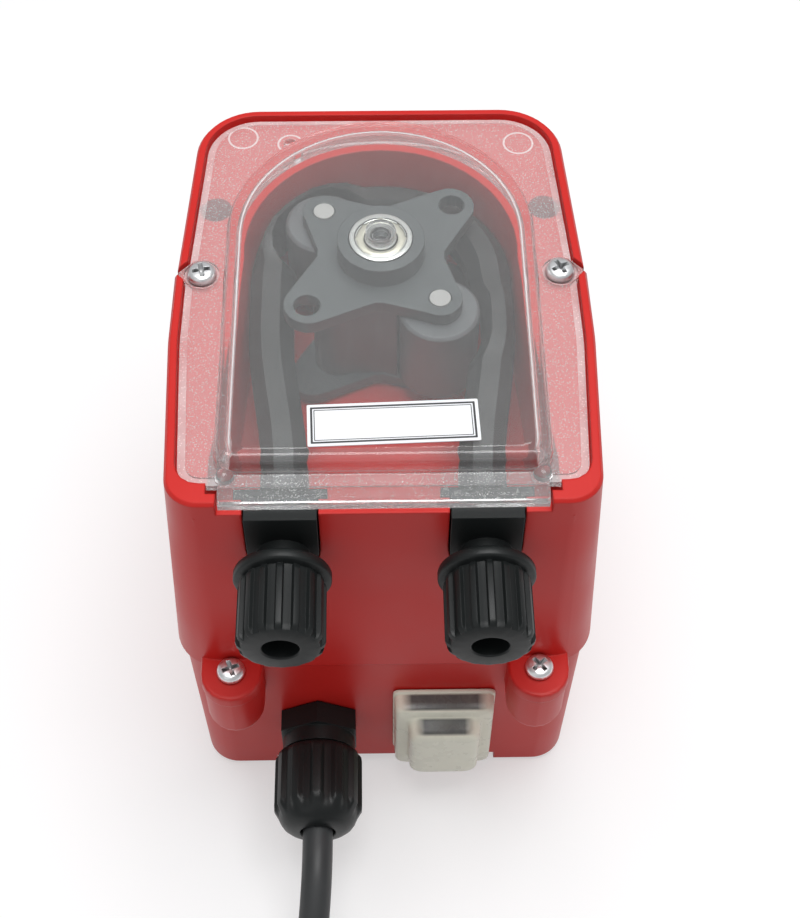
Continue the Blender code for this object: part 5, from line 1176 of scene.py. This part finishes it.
class PUMP_OT_bearing(Operator):
    """Builds the shielded ball bearing's rings, its pressed shield and the split ring that holds it"""

    bl_idname = "pump.bearing"
    bl_label = "Bearing"

    def execute(self, context):
        at = (*PUMP_AXIS, BEARING_TOP)
        finishes = {
            "bright": bearing_finish("bearing_bright", (0.66, 0.68, 0.66), 0.28),
            "shield": bearing_finish("bearing_shield_steel", (0.64, 0.63, 0.53), 0.34),
        }
        for name, stands_for, body, steps, finish, profile in BEARING_PARTS:
            ring = turned(profile, steps, at, closed=True)
            piece = mesh_piece(name, ring, finishes[finish], body)
            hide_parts(stands_for)
        make_split_ring(at, finishes["bright"])
        # Painted shade: a dark ring below the split ring, seen through its gaps.
        gap_shade = turned(BEARING_GAP_SHADE, 96, at, closed=True)
        dark, _, _ = new_finish("bearing_gap_shade", (0.02, 0.02, 0.02), 0.6)
        mesh_piece("bearing_gap_shade_ring", gap_shade, dark, "rotor")
        dress(finishes["bright"], "bearing_ball_cage")
        return {"FINISHED"}


def make_split_ring(at, finish):
    """The spring ring in the outer race, in eight short arcs where its crimps break it."""
    arcs, gap, steps, sides = 8, 4.5, 12, 8
    bm = bmesh.new()
    for i in range(arcs):
        start, end = 360 / arcs * i + gap, 360 / arcs * (i + 1) - gap
        sections = []
        for step in range(steps + 1):
            angle = math.radians(start + (end - start) * step / steps)
            section = []
            for side in range(sides):
                turn = 2 * math.pi * side / sides
                radius, height = 5.2 + 0.15 * math.cos(turn), -0.31 + 0.13 * math.sin(turn)
                x, y = at[0] + radius * math.cos(angle), at[1] + radius * math.sin(angle)
                section.append((x, y, at[2] + height))
            sections.append(section)
        loft(bm, sections, capped=True)
    mesh_piece("bearing_split_ring", bm, finish, "rotor")


class PUMP_OT_tube(Operator):
    """Finishes the elastic pump tube and its two connectors"""

    bl_idname = "pump.tube"
    bl_label = "Pump tube"

    def execute(self, context):
        black = tuple(context.scene.pump_colours.fittings)
        tube = rubber_finish("pump_tube_rubber", (0.010, 0.012, 0.012), 0.48, bloom=0.25)
        smooth_copy("pump_tube", tube, "housing", sharp=40.0)
        plastic = moulded_finish("connector_black", black, 0.45, edge=0.25, Specular_IOR_Level=0.25)
        for side in NUT_AXES:
            smooth_copy(f"connector_{side}", plastic, "housing")
        return {"FINISHED"}


class PUMP_OT_hose_nuts(Operator):
    """Builds the two ribbed compression nuts that clamp the hoses, and finishes their ferrules"""

    bl_idname = "pump.hose_nuts"
    bl_label = "Hose nuts"

    def execute(self, context):
        sizes = context.scene.pump_sizes
        black = tuple(context.scene.pump_colours.fittings)
        look = {"depth": 0.02, "tone": 0.2, "edge": 0.2, "scuffs": 0.45}
        finish = moulded_finish("nut_black", black, 0.42, **look, Specular_IOR_Level=0.28)
        profile = [(radius, NUT_START + height, *share) for radius, height, *share in NUT_PROFILE]
        grip = ribs(sizes.rib_count, sizes.rib_depth / MM, 0.1, 1.6)
        for side, (x, z) in NUT_AXES.items():
            ring = turned(profile, 12 * sizes.rib_count, (x, 0, z), "-Y", closed=True, ripple=grip)
            nut = mesh_piece(f"hose_nut_{side}", ring, finish, f"{side}_nut", sharp=40)
            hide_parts(f"compression_nut_{side}")
        rubber = rubber_finish("ferrule_rubber", (0.03, 0.03, 0.03), 0.6)
        dress(rubber, "clamping_ferrule_left", "clamping_ferrule_right")
        return {"FINISHED"}


class PUMP_OT_gland(Operator):
    """Builds the cable gland's dome nut and finishes its body, seal and lock nut"""

    bl_idname = "pump.gland"
    bl_label = "Cable gland"

    def execute(self, context):
        black = tuple(context.scene.pump_colours.fittings)
        look = {"grain": 0.7, "depth": 0.010, "tone": 0.15, "edge": 0.3}
        finish = moulded_finish("gland_black", black, 0.38, **look, Specular_IOR_Level=0.3)
        smooth_copy("gland_body", finish, "housing")
        dress(finish, "gland_lock_nut")
        dress(rubber_finish("gland_seal_rubber", (0.03, 0.03, 0.03), 0.6), "gland_seal")
        low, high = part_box("gland_dome_nut")
        start, end = -high.y / MM, -low.y / MM
        profile = [(radius, end - back, *share) for radius, back, *share in GLAND_CROWN]
        profile += [(radius, start + out, *share) for radius, out, *share in GLAND_SKIRT]
        x, z = GLAND_AXIS
        ring = turned(profile, 144, (x, 0, z), "-Y", closed=True, ripple=ribs(12, 1.0, 0.5, 1.8))
        nut = mesh_piece("gland_dome", ring, finish, "dome_nut", sharp=40)
        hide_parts("gland_dome_nut")
        return {"FINISHED"}


def boot_finish(colour):
    """Milky silicone through whose upper sides the black switch behind it shows as grey bands."""
    material, tree, shader = new_finish("boot_silicone_finish", colour, 0.28, IOR=1.41)
    point = surface_point(tree)
    cloud = noise(tree, point, 5.0)
    milky = blend_colours(tree, cloud, shade(colour, 0.90), shade(colour, 1.10))
    place = split(tree, point)
    facing = split(tree, node(tree, "ShaderNodeTexCoord").outputs["Normal"])
    upward = remap(tree, facing["Z"], 0.6, 0.9, 0.0, 1.0)
    on_button = fade(tree, place["Y"], BOOT_STEP + 0.1, BOOT_STEP - 0.1)
    half = remap(tree, on_button, 0.0, 1.0, 8.2 * MM, 5.4 * MM)
    beyond = calc(tree, "SUBTRACT", offset_from(tree, place["X"], BOOT_AXIS[0] * MM), half)
    past_rim = fade(tree, place["Y"], BOOT_BACK - 0.6, BOOT_BACK - 1.3)
    patchy = remap(tree, cloud, 0.3, 0.7, 0.86, 1.0)
    seen = product(tree, upward, fade(tree, beyond, 1.4, -1.0), past_rim, patchy)
    feed(
        tree,
        shader,
        Base_Color=blend_colours(tree, seen, milky, (0.055, 0.062, 0.066)),
        Roughness=remap(tree, cloud, 0.3, 0.7, 0.22, 0.36),
        Normal=bumped(tree, noise(tree, point, 0.8), 0.02, 0.4, soft_edges(tree, 0.3)),
    )
    return material


def boot_sections(wall):
    """The boot's rings of points and its tip, a wall's thickness inside its outer face."""
    x, z = BOOT_AXIS
    sections = []
    for width, height, corner, y in BOOT_SECTIONS:
        outline = rounded_rectangle(width - 2 * wall, height - 2 * wall, max(0.4, corner - 2 * wall / 3), 8)
        sections.append([(x + px, y + wall, z + pz) for px, pz in outline])
    return sections, [(x, BOOT_FRONT - 0.02 + wall, z)]


class PUMP_OT_switch(Operator):
    """Builds the soft silicone boot over the rocker switch and finishes the switch behind it"""

    bl_idname = "pump.switch"
    bl_label = "Switch"

    def execute(self, context):
        outer, outer_tip = boot_sections(0.0)
        inner, inner_tip = boot_sections(BOOT_WALL)
        inner = inner[3:]
        mouth = [(x, outer[0][0][1], z) for x, _, z in inner[0]]
        bm = bmesh.new()
        loft(bm, [outer_tip] + outer[::-1] + [mouth] + inner + [inner_tip])
        silicone = boot_finish(tuple(context.scene.pump_colours.boot))
        boot = mesh_piece("switch_boot_silicone", bm, silicone, "housing", sharp=60)
        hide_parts("switch_boot")
        black = moulded_finish("switch_black", (0.014, 0.014, 0.015), 0.35, edge=0.3)
        dress(black, "switch_body", "switch_rocker")
        return {"FINISHED"}


class PUMP_OT_drive(Operator):
    """Finishes the geared motor and the terminals inside the housing"""

    bl_idname = "pump.drive"
    bl_label = "Drive"

    def execute(self, context):
        nylon = moulded_finish("gear_nylon", (0.80, 0.78, 0.70), 0.45, grain=0.6, tone=0.06)
        dress(nylon, "output_gear", "idler_gear")
        steel = metal_finish("drive_steel", (0.70, 0.71, 0.73), 0.32, grain=0.8)
        dress(steel, "idler_pin", "motor_rotor", "motor_case", "gearbox_screw_left", "gearbox_screw_right")
        case = moulded_finish("gearbox_black", (0.02, 0.02, 0.022), 0.5, grain=0.9)
        dress(case, "gearbox_case", "gearbox_lid")
        dress(metal_finish("bush_bronze", (0.52, 0.34, 0.14), 0.4, grain=0.4), "shaft_bush")
        dress(moulded_finish("terminal_cream", (0.70, 0.70, 0.66), 0.5), "terminal_block")
        return {"FINISHED"}


class PUMP_PT_parts(Panel):
    """Lists the pump's pieces in the 3D view's sidebar"""

    bl_label = "Dosing pump"
    bl_idname = "PUMP_PT_parts"
    bl_space_type = "VIEW_3D"
    bl_region_type = "UI"
    bl_category = "Dosing pump"

    def draw(self, context):
        layout = self.layout
        for group in (context.scene.pump_colours, context.scene.pump_sizes):
            box = layout.box()
            for key in group.__annotations__:
                box.prop(group, key)
        for step in STEPS:
            layout.operator(step.bl_idname)


STEPS = (
    PUMP_OT_stage,
    PUMP_OT_mains_cable,
    PUMP_OT_housing,
    PUMP_OT_clear_cover,
    PUMP_OT_label,
    PUMP_OT_screws,
    PUMP_OT_rotor,
    PUMP_OT_bearing,
    PUMP_OT_tube,
    PUMP_OT_hose_nuts,
    PUMP_OT_gland,
    PUMP_OT_switch,
    PUMP_OT_drive,
)
CLASSES = (PumpColours, PumpSizes, *STEPS, PUMP_PT_parts)


def register():
    for each in CLASSES:
        bpy.utils.register_class(each)
    bpy.types.Scene.pump_colours = PointerProperty(type=PumpColours)
    bpy.types.Scene.pump_sizes = PointerProperty(type=PumpSizes)


def unregister():
    del bpy.types.Scene.pump_sizes
    del bpy.types.Scene.pump_colours
    for each in reversed(CLASSES):
        bpy.utils.unregister_class(each)


def main():
    register()
    for step in STEPS:
        category, name = step.bl_idname.split(".")
        getattr(getattr(bpy.ops, category), name)()


if __name__ == "__main__":
    main()
